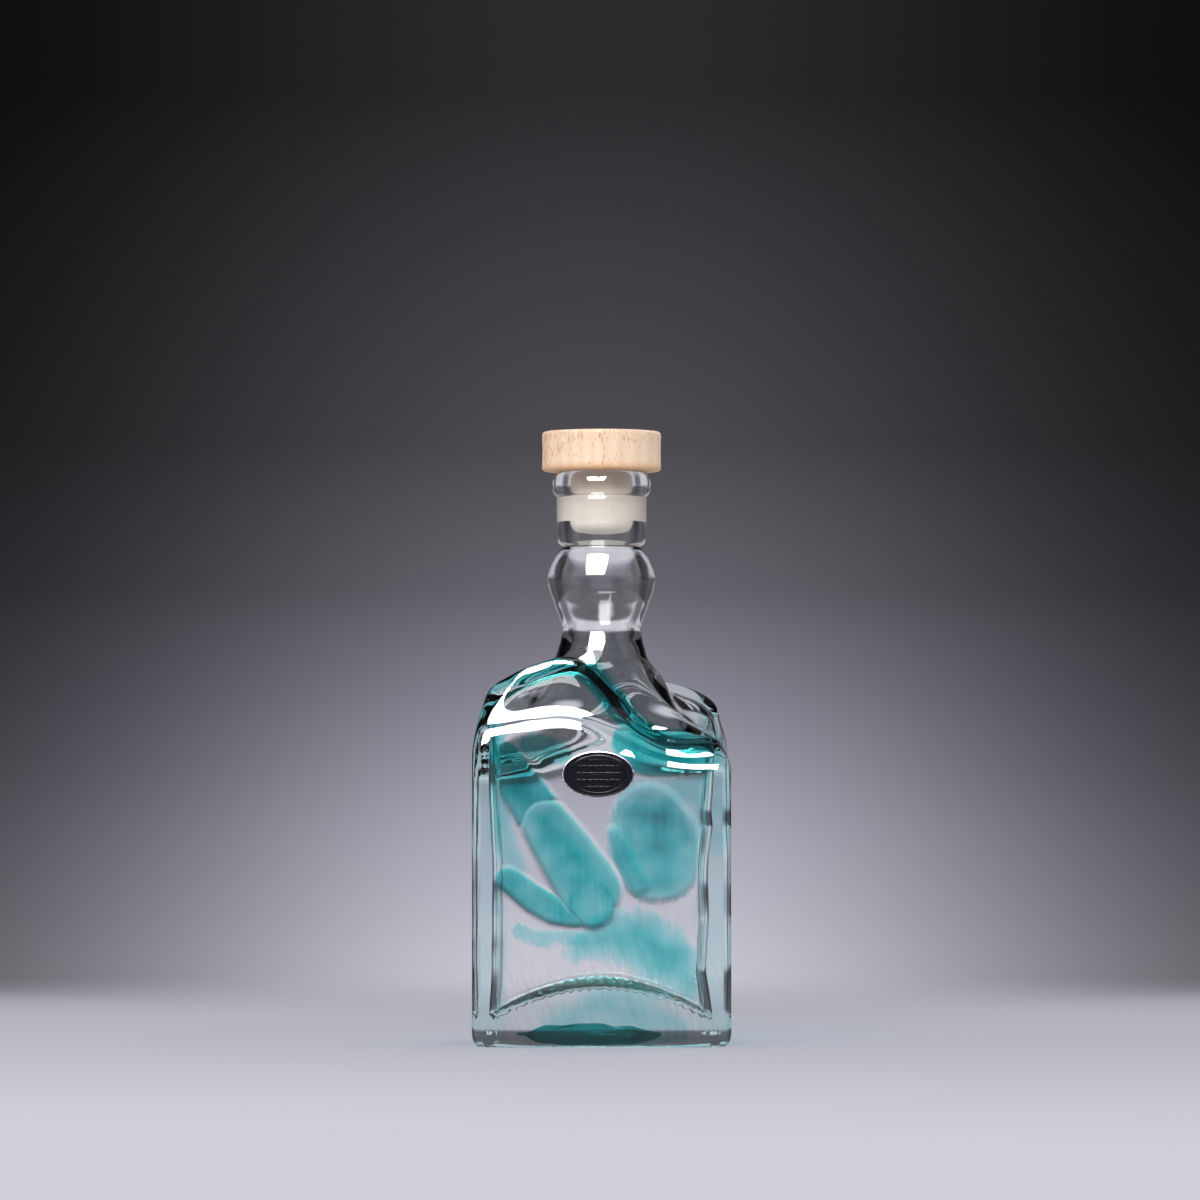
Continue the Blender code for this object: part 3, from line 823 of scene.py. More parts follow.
@dataclass
class Vessel:
    """The blown glass, in one closed surface: outside from foot to lip, then inside from lip to floor.

    A level is a row of half width, half depth, squareness, height, and shares of the shoulder's wave and
    of the floor's arch. A swell is its height, wavelength and seed, and a fade is the heights that bound
    it. The neck's root and the walls are given in millimetres, and the fold by bearing in degrees.
    """

    width: float
    depth: float
    height: float
    squareness: float = 12.0
    inside_squareness: float = 12.0
    corner_radius: float = 4.5 * MM
    inside_corner_radius: float = 4.2 * MM
    body_height: float = 125.8 * MM
    foot_rounding: float = 3.0 * MM
    foot_rise: float = 5.5 * MM
    foot_ring: float = 9.0 * MM
    hollow_depth: float = 3.0 * MM
    hollow_shape: tuple[Triple, ...] = (
        (0.08, 1.0, 2.1), (0.42, 0.96, 2.6), (0.70, 0.74, 3.4), (0.95, 0.16, 6.0), (1.0, 0.0, 12.0),
    )
    wave: float = 16.5 * MM
    wall_wave: float = 0.35
    tilt: float = 3.7 * MM
    crest_bearing: float = 241.2
    corner_lift: float = 5.0 * MM
    corner_bearing: float = 331.0
    corner_spread: float = 15.0
    shoulder_height: float = 20.1 * MM
    ridge_inset: float = 9.8 * MM
    ridge_side_inset: float = 4.2 * MM
    shoulder_shape: tuple[Level, ...] = (
        (0.07, 0.08, 0.22, 0.49, 9.0),
        (0.38, 0.24, 0.41, 0.60, 7.8),
        (0.44, 0.50, 0.68, 0.80, 6.2),
        (0.46, 0.68, 0.86, 0.93, 5.4),
        (0.49, 0.76, 0.945, 0.975, 5.0),
        (0.60, 0.84, 0.98, 0.99, 4.8),
        (0.79, 0.93, 0.997, 1.00, 4.6),
        (1.00, 1.00, 1.00, 1.00, 4.4),
        (1.42, 1.42, 1.01, 0.86, 3.8),
    )
    root_shape: tuple[Level, ...] = (
        (30.0, 18.5, 2.8, 5.5, 0.58), (23.3, 17.5, 2.1, 14.2, 0.24), (17.2, 17.2, 2.0, 21.4, 0.05),
    )
    neck_shape: tuple[Pair, ...] = (
        (15.0 * MM, 156.2 * MM), (17.75 * MM, 165.5 * MM), (20.5 * MM, 175.2 * MM), (17.45 * MM, 184.1 * MM),
        (14.4 * MM, 187.5 * MM),
    )
    collar_shape: tuple[Pair, ...] = (
        (15.0 * MM, 187.9 * MM), (16.0 * MM, 188.4 * MM), (16.5 * MM, 189.3 * MM), (16.8 * MM, 192.0 * MM),
        (17.2 * MM, 205.8 * MM),
    )
    groove_radius: float = 16.6 * MM
    lip_radius: float = 18.8 * MM
    lip_bulge: float = 3.0 * MM
    lip_belly: float = 4.4 * MM
    lip_height: float = 9.3 * MM
    bore_radius: float = 12.0 * MM
    bore_end: float = 191.8 * MM
    bore_softening: float = 0.7 * MM
    side_wall: float = 6.6 * MM
    side_walls: tuple[Triple, ...] = (
        (6.0, 6.4, 6.8), (11.0, 6.4, 7.0), (21.0, 7.0, 8.3), (28.0, 7.3, 9.4), (40.0, 7.5, 8.8),
        (47.0, 7.4, 8.3), (61.0, 7.6, 8.6), (71.0, 7.5, 8.4), (82.0, 6.8, 6.8), (88.0, 6.6, 7.4),
        (99.0, 6.2, 6.6), (106.0, 6.4, 6.5), (112.0, 6.6, 6.6),
    )
    shoulder_walls: tuple[Pair, ...] = (
        (105.7, 6.6), (112.0, 5.6), (119.0, 4.2), (126.0, 3.2), (132.0, 2.6), (140.0, 2.4), (145.0, 3.0),
        (150.0, 4.0), (156.2, 4.4),
    )
    neck_wall: float = 4.4 * MM
    pinch_wall: float = 2.4 * MM
    knop_wall: float = 5.3 * MM
    floor_edge: float = 9.0 * MM
    floor_corner: float = 1.8 * MM
    floor_squareness: float = 6.5
    floor_arch: float = 12.5 * MM
    floor_crown: float = 3.3 * MM
    floor_turn: float = 3.0 * MM
    floor_rings: int = 28
    half_arched: float = 60.0 * MM
    ripple_period: float = 3.5 * MM
    ripple_height: float = 0.6 * MM
    ripple_swell: Swell = (2.0, 17.0 * MM, 8)
    outside_swell: Swell = (0.10 * MM, 42.0 * MM, 3)
    outside_fade: Level = (2.0 * MM, 14.0 * MM, 206.0 * MM, 216.0 * MM)
    shoulder_swell: Swell = (0.55 * MM, 13.0 * MM, 4)
    shoulder_fade: Level = (106.0 * MM, 112.0 * MM, 142.0 * MM, 150.0 * MM)
    inside_swell: Swell = (0.04 * MM, 34.0 * MM, 11)
    side_swell: Swell = (0.08 * MM, 17.0 * MM, 5)
    soft_fade: Level = (100.0 * MM, 108.0 * MM, 146.0 * MM, 154.0 * MM)
    soft_rows: int = 23
    fold_depths: tuple[Triple, ...] = (
        (165.0, 0.0, 3.0), (185.0, 0.68, 5.0), (225.0, 0.84, 6.4), (262.0, 0.92, 7.2), (284.0, 0.92, 7.2),
        (296.0, 0.72, 6.8), (320.0, 0.54, 5.8), (340.0, 0.38, 4.4), (355.0, 0.0, 3.0),
    )
    columns: int = 232
    crowding: float = 0.13
    spacing: float = 1.25 * MM
    long_stretch: float = 60.0 * MM

    def round_row(self, radius: float, height: float, wave: float = 0.0) -> Level:
        """A level whose plan is a circle."""
        return (radius, radius, 2.0, height, wave, 0.0)

    def body_row(self, inset: float, height: float, n: float, side: float, *shares: float) -> Level:
        """A level whose plan is the body's, drawn in by an inset at the faces and one at the sides."""
        return (self.width / 2 - side, self.depth / 2 - inset, n, height, *(*shares, 0.0, 0.0)[:2])

    def neck_root(self) -> list[Level]:
        """The shoulder's slope inside its ridge, the neck's root and its base."""
        base = self.body_height
        return [(x * MM, y * MM, n, base + z * MM, wave, 0.0) for x, y, n, z, wave in self.root_shape]

    def flowing(self, rows: list[Level]) -> Array:
        """Levels on a smooth curve through the given ones, about one spacing apart, or two where it is long.

        Each stretch is a cubic. Its slope at a level is the weighted harmonic mean of the slopes on both
        sides, or none where they turn, so the curve never swings out past the levels.

        Args:
            rows: The levels.

        Returns:
            The finer levels.
        """
        table = np.array(rows)
        gaps = np.hypot(np.diff(table[:, 0]), np.diff(table[:, 3]))[:, None]
        slopes = np.diff(table, axis=0) / gaps
        before, after = slopes[:-1], slopes[1:]
        near, far = gaps[:-1] + 2 * gaps[1:], 2 * gaps[:-1] + gaps[1:]
        goes_on = before * after > 0
        blend = np.where(goes_on, near * after + far * before, 1.0)
        inner = np.where(goes_on, (near + far) * before * after / blend, 0.0)
        tangents = np.vstack([slopes[:1], inner, slopes[-1:]])
        spacing = np.where(gaps[:, 0] > self.long_stretch, 2 * self.spacing, self.spacing)
        steps = np.maximum(2, np.ceil(gaps[:, 0] / spacing)).astype(int)
        stretch = np.repeat(np.arange(len(gaps)), steps)
        first = np.repeat(np.cumsum(steps) - steps, steps)
        t = ((np.arange(len(stretch)) - first) / steps[stretch])[:, None]
        levels = (
            (2 * t**3 - 3 * t**2 + 1) * table[stretch]
            + (t**3 - 2 * t**2 + t) * gaps[stretch] * tangents[stretch]
            + (3 * t**2 - 2 * t**3) * table[stretch + 1]
            + (t**3 - t**2) * gaps[stretch] * tangents[stretch + 1]
        )
        return np.vstack([levels, table[-1:]])

    def shoulder_wave(self, bearing: Array) -> Array:
        """Height of the shoulder's wave at a bearing: two crests in a turn, and a lift at one corner.

        Args:
            bearing: Angles round the bottle, in radians.

        Returns:
            One height for each.
        """
        turn = bearing - math.radians(self.crest_bearing)
        corner = np.angle(np.exp(1j * (bearing - math.radians(self.corner_bearing))))
        lift = self.corner_lift * np.exp(-((corner / math.radians(self.corner_spread)) ** 2))
        return self.wave * np.cos(2 * turn) - self.tilt * np.sin(bearing) + lift

    def outside(self) -> Array:
        """Works out the outside, from the middle of the underside up to the lip's top.

        Returns:
            Levels, one to a row.
        """
        ring = self.foot_rounding + self.foot_ring
        inner_width, inner_depth = self.width / 2 - ring, self.depth / 2 - ring
        hollow = self.flowing([
            (inner_width * s, inner_depth * s, n, self.hollow_depth * h, 0.0, 0.0)
            for s, h, n in self.hollow_shape
        ])
        rounding, rise = self.foot_rounding, self.foot_rise
        turn_up = arc((rounding, rise), (-rounding, -rise), (90, 0), steps=12)
        foot = [self.body_row(i, h, self.squareness, i) for i, h in turn_up]
        straight_top, slope = self.body_height - self.shoulder_height, self.shoulder_height
        shoulder = [
            self.body_row(self.ridge_inset * i, straight_top + slope * h, n, self.ridge_side_inset * side, w)
            for i, side, h, w, n in self.shoulder_shape
        ]
        body = self.flowing([
            foot[-1],
            self.body_row(0.0, straight_top, self.squareness, 0.0, self.wall_wave),
            *shoulder,
            *self.neck_root(),
            *(self.round_row(r, h) for r, h in self.neck_shape),
        ])
        collar = self.flowing([self.round_row(r, h) for r, h in self.collar_shape])
        groove_height = self.height - self.lip_height
        out = self.lip_radius - self.groove_radius
        belly_height = groove_height + self.lip_belly
        under = arc((self.groove_radius, belly_height), (out, self.lip_belly), (-90, 0), steps=12)
        middle = (self.lip_radius - self.lip_bulge, belly_height)
        over = arc(middle, (self.lip_bulge, self.lip_height - self.lip_belly), (0, 90), steps=14)
        lip = [self.round_row(r, h) for r, h in np.vstack([under, over[1:]])]
        return np.vstack([hollow, foot[1:-1], body, collar, lip])

    def neck_inside(self) -> Array:
        """Works out the inside, from the mouth down to the neck's waist.

        Returns:
            Levels, one to a row.
        """
        soft = self.bore_softening
        mouth = arc((self.bore_radius + soft, self.height - soft), (soft, soft), (90, 180), steps=4)
        bore = [self.round_row(r, h) for r, h in mouth]
        (waist, waist_height), _, (knop, knop_height), _, (pinch, pinch_height) = self.neck_shape
        neck = self.flowing([
            self.round_row(self.bore_radius, self.bore_end),
            self.round_row(pinch - self.pinch_wall, pinch_height),
            self.round_row(knop - self.knop_wall, knop_height),
            self.round_row(waist - self.neck_wall, waist_height),
        ])
        return np.vstack([bore, neck])

    def cavity(self) -> Array:
        """Works out the inside, from the top of the straight walls down to the floor's middle.

        Returns:
            Levels, one to a row.
        """
        straight_top = self.body_height - self.shoulder_height
        side, n = self.side_wall, self.inside_squareness
        corner = side + self.floor_corner
        walls = self.flowing([
            self.body_row(side, straight_top, n, side, self.wall_wave),
            self.body_row(side, self.half_arched, n, side, 0.06, 0.5),
            self.body_row(side, self.floor_edge + self.floor_turn, n, side, 0.0, 1.0),
            self.body_row(corner, self.floor_edge, self.floor_squareness, corner, 0.0, 1.0),
        ])
        shares = np.linspace(0.97, 0.03, self.floor_rings)[:, None]
        plan = np.array([[self.width / 2 - corner, self.depth / 2 - corner]]) * shares
        squareness = 2.0 + (self.floor_squareness - 2.0) * shares**2
        height = self.floor_edge + self.floor_crown * (1 - shares**2)
        floor = np.hstack([plan, squareness, height, np.zeros_like(shares), np.ones_like(shares)])
        return np.vstack([walls, floor])

    def shoulder_inside(self, levels: Array, outer: Array) -> Array:
        """The inside of the shoulder, a wall's thickness in from the outside, from the waist down.

        Low down the plan is drawn in by the wall, which keeps its corners. Above the straight walls it
        turns into an offset along the normals of the softened outside, so that the ridge stays solid.

        Args:
            levels: The outside's levels, from foot to lip.
            outer: Their points.

        Returns:
            Points, from the waist down to the top of the straight walls.
        """
        table = np.array(self.shoulder_walls) * MM
        rows = (levels[:, 3] > table[0, 0] + 0.2 * MM) & (levels[:, 3] < table[-1, 0] - 0.2 * MM)
        chosen = levels[rows].copy()
        wall = np.interp(chosen[:, 3], table[:, 0], table[:, 1])
        rounded = self.softened(outer)
        offset = rounded[rows] - surface_normals(rounded)[rows] * wall[:, None, None]
        chosen[:, :2] -= wall[:, None]
        drawn_in = self.grid(chosen, self.inside_corner_radius)
        share = smoothstep(107 * MM, 124 * MM, chosen[:, 3])[:, None, None]
        return (drawn_in + (offset - drawn_in) * share)[::-1]

    def softened(self, surface: Array) -> Array:
        """Rounds a shoulder along its rows, as glass that has flowed.

        Each place becomes the mean of the rows about it, weighted by a bell, where the shoulder is.

        Args:
            surface: Points of the outside or the inside.

        Returns:
            The softened points.
        """
        kernel = np.hanning(self.soft_rows + 2)[1:-1]
        kernel = kernel / kernel.sum()
        beyond = self.soft_rows // 2
        padded = np.pad(surface, ((beyond, beyond), (0, 0), (0, 0)), mode="edge")
        windows = np.lib.stride_tricks.sliding_window_view(padded, self.soft_rows, axis=0)
        share = fade(self.soft_fade, surface[..., 2].mean(axis=1))
        return surface + (windows @ kernel - surface) * share[:, None, None]

    def boxed_reach(self, across: Array, along: Array, half: tuple[Array, Array], radius: float) -> Array:
        """How far out a rectangle with rounded corners lies, along lines from its middle.

        Along the flats it is the lesser of the half sizes over the line's own steps. At a corner it is
        the farther root of the quadratic for the line and the corner's circle.

        Args:
            across: The line's step along X, nowhere negative.
            along: Its step along Y.
            half: Half width and half depth.
            radius: The corner's radius.

        Returns:
            How many steps it takes.
        """
        rounded = np.minimum(radius, 0.5 * np.minimum(*half))
        flat = np.minimum(half[0] / np.maximum(across, 1e-9), half[1] / np.maximum(along, 1e-9))
        middle = (half[0] - rounded, half[1] - rounded)
        dot = across * middle[0] + along * middle[1]
        length = across**2 + along**2
        root = dot**2 - length * (middle[0] ** 2 + middle[1] ** 2 - rounded**2)
        corner = (dot + np.sqrt(np.maximum(root, 0.0))) / length
        at_corner = (flat * across > middle[0]) & (flat * along > middle[1])
        return np.where(at_corner, corner, flat)

    def grid(self, levels: Array, radius: float) -> Array:
        """Points of the levels on their plans, lifted by their shares of wave and arch.

        A plan is |x/a|^n + |y/b|^n = 1, and as n goes from 5 to 9 it becomes a rounded rectangle.

        Args:
            levels: Rows of half width, half depth, squareness, height, wave share and arch share.
            radius: The rounded rectangle's radius.

        Returns:
            Points, as levels by columns by x, y and z.
        """
        turn = full_turn(self.columns)
        turn = turn + self.crowding * np.sin(4 * turn)
        half_width, half_depth, n, height, wave, arch = (levels[:, i : i + 1] for i in range(6))
        reach = (np.abs(np.cos(turn)) ** n + np.abs(np.sin(turn)) ** n) ** (-1 / n)
        across, along = half_width * np.abs(np.cos(turn)), half_depth * np.abs(np.sin(turn))
        boxed = self.boxed_reach(across, along, (half_width, half_depth), radius)
        reach = reach + (boxed - reach) * smoothstep(5.0, 9.0, n)
        x, y = half_width * reach * np.cos(turn), half_depth * reach * np.sin(turn)
        rise = self.floor_arch * (1 - (x / (self.width / 2 - self.side_wall)) ** 2)
        z = height + wave * self.shoulder_wave(np.arctan2(y, x)) + arch * rise
        return np.stack([x, y, z], axis=-1)

    def thick_sides(self, grid: Array) -> Array:
        """Draws the cavity in at its narrow sides, by the thickness that each has at a height.

        The thicknesses are read between the given heights and softened over a few millimetres.

        Args:
            grid: Points of the inside.

        Returns:
            The points, moved along X.
        """
        table = np.array(self.side_walls) * MM
        heights = np.linspace(0.0, 130 * MM, 261)
        kernel = np.hanning(15) / np.hanning(15).sum()
        half, base = self.width / 2, self.side_wall
        moved = grid.copy()
        for column, sign in ((1, -1.0), (2, 1.0)):
            wall = np.interp(heights, table[:, 0], table[:, column])
            wall = np.convolve(np.pad(wall, 7, mode="edge"), kernel, "valid")
            drawn = (half - np.interp(grid[..., 2], heights, wall)) / (half - base)
            in_body = smoothstep(118 * MM, 108 * MM, grid[..., 2])
            factor = 1 + (drawn - 1) * in_body
            moved[..., 0] = np.where(sign * grid[..., 0] > 0, grid[..., 0] * factor, moved[..., 0])
        return moved

    def worked_by_hand(self, grid: Array, outside_rows: int) -> Array:
        """Makes the surfaces uneven, as blown glass is, always into the glass from outside.

        The outside sinks by up to a small swell. The inside moves a little both ways, more at the narrow
        sides, and is rippled across the floor by the chilled mould.

        Args:
            grid: Points of the smooth surfaces.
            outside_rows: How many rows are outside.

        Returns:
            The uneven points.
        """
        grid = grid.copy()
        grid[outside_rows:] = self.thick_sides(grid[outside_rows:])
        normals = surface_normals(grid)
        moves = np.zeros(grid.shape[:2])
        outer, inner = grid[:outside_rows], grid[outside_rows:]
        sunk = ((self.outside_swell, self.outside_fade), (self.shoulder_swell, self.shoulder_fade))
        for (rise, *waves), limits in sunk:
            moves[:outside_rows] -= rise * (0.5 + 0.5 * swell(outer, *waves)) * fade(limits, outer[..., 2])
        facing = np.abs(normals[outside_rows:, :, 1])
        sideways = np.abs(normals[outside_rows:, :, 0]) * smoothstep(112 * MM, 100 * MM, inner[..., 2])
        below_bore = smoothstep(190 * MM, 172 * MM, inner[..., 2])
        (rise, *waves), (side_rise, *side_waves) = self.inside_swell, self.side_swell
        uneven = rise * swell(inner, *waves) * facing + side_rise * swell(inner, *side_waves) * sideways
        upward = smoothstep(0.30, 0.7, normals[outside_rows:, :, 2])
        on_floor = upward * smoothstep(40 * MM, 28 * MM, inner[..., 2])
        bend, *waves = self.ripple_swell
        phase = 2 * math.pi * inner[..., 0] / self.ripple_period + bend * swell(inner, *waves)
        moves[outside_rows:] = uneven * below_bore + self.ripple_height * np.sin(phase) * on_floor
        return grid + normals * moves[..., None]

    def ridge_line(self, bearings: Array) -> Array:
        """The line along the top of the shoulder's ridge.

        Args:
            bearings: Angles round the bottle, in degrees.

        Returns:
            Points, as rows of x, y and z.
        """
        turn = np.radians(bearings)
        n = self.shoulder_shape[-2][4]
        reach = (np.abs(np.cos(turn)) ** n + np.abs(np.sin(turn)) ** n) ** (-1 / n)
        x = (self.width / 2 - self.ridge_side_inset) * reach * np.cos(turn)
        y = (self.depth / 2 - self.ridge_inset) * reach * np.sin(turn)
        return np.column_stack([x, y, self.body_height + self.shoulder_wave(np.arctan2(y, x))])

    def fold_colour(self, points: Array) -> Array:
        """Depth of colour in the rolled fold, which follows the ridge round from the left to the front.

        At each place it is the greatest, over the ridge's line, of the line's depth there, falling off to
        nothing at the line's width.

        Args:
            points: Places in metres.

        Returns:
            One depth for each place, from 0 to 1.
        """
        table = np.array(self.fold_depths)
        bearings = np.linspace(table[0, 0], table[-1, 0], 140)
        line = self.ridge_line(bearings)
        depths = np.interp(bearings, table[:, 0], table[:, 1])
        widths = np.interp(bearings, table[:, 0], table[:, 2]) * MM
        colour = np.zeros(len(points))
        high_up = points[:, 2] > 85 * MM
        near = points[high_up]
        deepest = np.zeros(len(near))
        for centre, depth, width in zip(line, depths, widths):
            share = np.linalg.norm(near - centre, axis=1) / width
            deepest = np.maximum(deepest, depth * smoothstep(1.2, 0.8, share))
        colour[high_up] = deepest
        return colour

    def build(self) -> Array:
        """Builds the vessel, writes its colour distances and dresses it.

        Returns:
            Points of the outside, as levels by columns by x, y and z.
        """
        outside = self.outside()
        outer = self.grid(outside, self.corner_radius)
        neck = self.grid(self.neck_inside(), self.inside_corner_radius)
        cavity = self.grid(self.cavity(), self.inside_corner_radius)
        inner = self.softened(np.vstack([neck, self.shoulder_inside(outside, outer), cavity]))
        grid = self.worked_by_hand(np.vstack([outer, inner]), len(outside))
        floor_top = self.floor_edge + self.floor_crown + self.floor_arch
        piece = closed_surface("blown_vessel", grid, (0, 0, self.hollow_depth), (0, 0, floor_top))
        points = mesh_points(piece)
        for stroke in SWIRLS:
            set_attribute(piece, stroke.name, stroke.signed_distance(points))
        set_attribute(piece, "fold", self.fold_colour(points))
        fit_piece(piece, Body.BOTTLE, Slot.GLASS, BlownGlass().build(), "glass_bottle")
        return grid[: len(outside)]


@dataclass
class MeltedPool:
    """The pool of teal glass melted into the middle of the base, a flat lens with an uneven outline."""

    centre: Pair = (-6.4 * MM, 0.0)
    half_width: float = 27.0 * MM
    half_depth: float = 14.0 * MM
    middle_height: float = 5.6 * MM
    edge_drop: float = 2.6 * MM
    half_thickness: float = 1.9 * MM
    lobes: tuple[Triple, ...] = ((0.12, 3, 0.6), (0.08, 7, 2.0), (0.05, 13, 0.0))
    top_swell: Swell = (0.9 * MM, 10.0 * MM, 21)
    columns: int = 96
    rows: int = 40

    def build(self) -> None:
        """Builds the pool from its lower pole out to its rim and back to its upper pole.

        At share s of the way out, the height is the middle's, less the drop times s^2, plus or minus the
        thickness times the root of 1 - s^2.
        """
        slant = np.linspace(-math.pi / 2, math.pi / 2, self.rows + 2)[1:-1, None]
        share = np.cos(slant)
        turn = full_turn(self.columns)
        outline = 1 + sum(size * np.sin(count * turn + start) for size, count, start in self.lobes)
        x = self.centre[0] + self.half_width * share * outline * np.cos(turn)
        y = self.centre[1] + self.half_depth * share * outline * np.sin(turn)
        z = self.middle_height - self.edge_drop * share**2 + self.half_thickness * np.sin(slant)
        rise, *waves = self.top_swell
        z = z + rise * swell(np.stack([x, y, 0 * x], axis=-1), *waves) * (slant > 0)
        grid = np.stack([x, y, z], axis=-1)
        low = self.middle_height - self.half_thickness
        high = low + 2 * self.half_thickness
        piece = closed_surface("melted_pool", grid, (*self.centre, low), (*self.centre, high))
        fit_piece(piece, Body.BOTTLE, Slot.GLASS, TealPool().build())


@dataclass
class Sticker:
    """The oval foil sticker on the front face, with a raised rim and a plain embossed centre."""

    half_width: float
    half_height: float
    centre_height: float
    glass: Array
    thickness: float = 0.22 * MM
    air: float = 0.04 * MM
    aside: float = -1.3 * MM
    row_pitch: float = 2.6 * MM
    dash_pitch: float = 2.1 * MM
    line_share: float = 0.80
    line_width: float = 0.022
    reliefs: Level = (0.55, 0.30, 0.25, 0.28)
    back_rings: int = 6
    front_rings: int = 70
    columns: int = 192

    def face_behind(self, x: Array, z: Array) -> Array:
        """How far forward the glass stands behind each place of the sticker.

        The mean of the front face's points near the place, weighted by a bell curve of the distance.

        Args:
            x: Places across.
            z: Heights.

        Returns:
            The Y of the glass.
        """
        face = self.glass.reshape(-1, 3)
        across = np.abs(face[:, 0]) < 1.3 * self.half_width
        up = np.abs(face[:, 2] - self.centre_height) < 1.4 * self.half_height
        face = face[across & up & (face[:, 1] < 0)]
        apart = (x[..., None] - face[:, 0]) ** 2 + (z[..., None] - face[:, 2]) ** 2
        weights = np.exp(-apart / (1.5 * MM) ** 2)
        return (weights @ face[:, 1]) / weights.sum(axis=-1)

    def build(self) -> None:
        """Builds the sticker as rings of an oval, from its back's middle round to its front's.

        The front's relief is a low wall near the rim, a second oval line inside it and rows of dashes.
        """
        back, front = np.linspace(0.1, 1.0, self.back_rings), np.linspace(0.985, 0.02, self.front_rings)
        shares = np.concatenate([back, [1.0], front])[:, None]
        turn = full_turn(self.columns)
        x = self.half_width * shares * np.cos(turn) + self.aside
        z = self.half_height * shares * np.sin(turn) + self.centre_height
        frame_line = np.exp(-(((shares - self.line_share) / self.line_width) ** 2))
        rim = smoothstep(0.90, 0.94, shares)
        ribs = smoothstep(0.2, 0.7, np.sin((z - self.centre_height) / self.row_pitch * 2 * math.pi + 0.8))
        broken = smoothstep(0.2, 0.5, np.abs(np.sin(x / self.dash_pitch * math.pi + 5.0 * ribs)))
        lozenges = ribs * broken * smoothstep(0.70, 0.62, shares)
        ground, lined, rimmed, dashed = self.reliefs
        relief = self.thickness * (ground + lined * frame_line + rimmed * rim + dashed * lozenges)
        height = np.where(np.arange(len(shares))[:, None] > self.back_rings, relief, 0.0)
        height[self.back_rings] = 0.5 * self.thickness
        y = self.face_behind(x, z) - self.air - height
        grid = np.stack([x, y, z], axis=-1)
        poles = ((self.aside, y[row].mean(), self.centre_height) for row in (0, -1))
        piece = closed_surface("foil_sticker", grid, *poles)
        finish = PrintedFoil().build(self.half_width, self.half_height, (self.aside, self.centre_height))
        fit_piece(piece, Body.BOTTLE, Slot.FOIL, finish, "label_sticker")


@dataclass
class Stopper:
    """The turned beech head and the foam shank glued in its recess."""

    head_radius: float
    head_bottom: float
    head_top: float
    shank_radius: float
    shank_bottom: float
    shank_top: float
    head_rounding: float = 1.3 * MM
    tip_inset: float = 3.2 * MM
    tip_rise: float = 4.4 * MM
    squeeze: float = 0.33 * MM
    slack: float = 0.1 * MM
    grip: Pair = (206.4 * MM, 207.4 * MM)
    clearance: float = 0.3 * MM
    recess_edge: float = 0.4 * MM
    side_hollow: float = 0.12 * MM
    side_rows: int = 24
    top_ring: float = 0.5 * MM
    end_ring: float = 0.3 * MM
    columns: int = 224

    def build_head(self) -> None:
        """Builds the head: recess, underside, rounded side and top, with its side turned a little hollow."""
        recess_radius = self.shank_radius + self.squeeze + self.clearance
        recess_top = self.shank_top + self.clearance
        r = self.head_rounding
        radius = self.head_radius
        low, high = self.head_bottom, self.head_top
        recess = [(recess_radius * s, recess_top) for s in (0.1, 0.6, 1.0)] + [(recess_radius, low)]
        under = straight((recess_radius + self.recess_edge, low), (radius - r, low), 8)
        lower = arc((radius - r, low + r), (r, r), (-90, 0), steps=10)[1:]
        side = straight((radius, low + r), (radius, high - r), self.side_rows + 2)[1:-1]
        side[:, 0] -= self.side_hollow * np.sin(np.linspace(0, math.pi, self.side_rows))
        upper = arc((radius - r, high - r), (r, r), (0, 90), steps=10)
        top = straight((radius - r, high), (self.top_ring, high), 20)[1:]
        grid = turned_grid(np.vstack([recess, under, lower, side, upper, top]), self.columns)
        piece = closed_surface("beech_head", grid, (0, 0, recess_top), (0, 0, high))
        fit_piece(piece, Body.STOPPER, Slot.BEECH, TurnedBeech().build(), "stopper_head")

    def build_shank(self) -> None:
        """Builds the shank: rounded tip, side that presses on the bore low down, and flat glued end."""
        radius = self.shank_radius + self.squeeze
        inset, rise, bottom = self.tip_inset, self.tip_rise, self.shank_bottom
        tip = straight((self.end_ring, bottom), (radius - inset, bottom), 14)
        edge = arc((radius - inset, bottom + rise), (inset, rise), (-90, 0), steps=16)[1:]
        heights = np.linspace(bottom + rise, self.shank_top, 61)[1:]
        eased = (self.squeeze - self.slack) * smoothstep(*self.grip, heights)
        side = np.column_stack([radius - eased, heights])
        end = straight((side[-1, 0], self.shank_top), (self.end_ring, self.shank_top), 10)[1:]
        grid = turned_grid(np.vstack([tip, edge, side, end]), self.columns)
        piece = closed_surface("foam_shank", grid, (0, 0, bottom), (0, 0, self.shank_top))
        fit_piece(piece, Body.STOPPER, Slot.FOAM, FoamCork().build(), "stopper_shank")


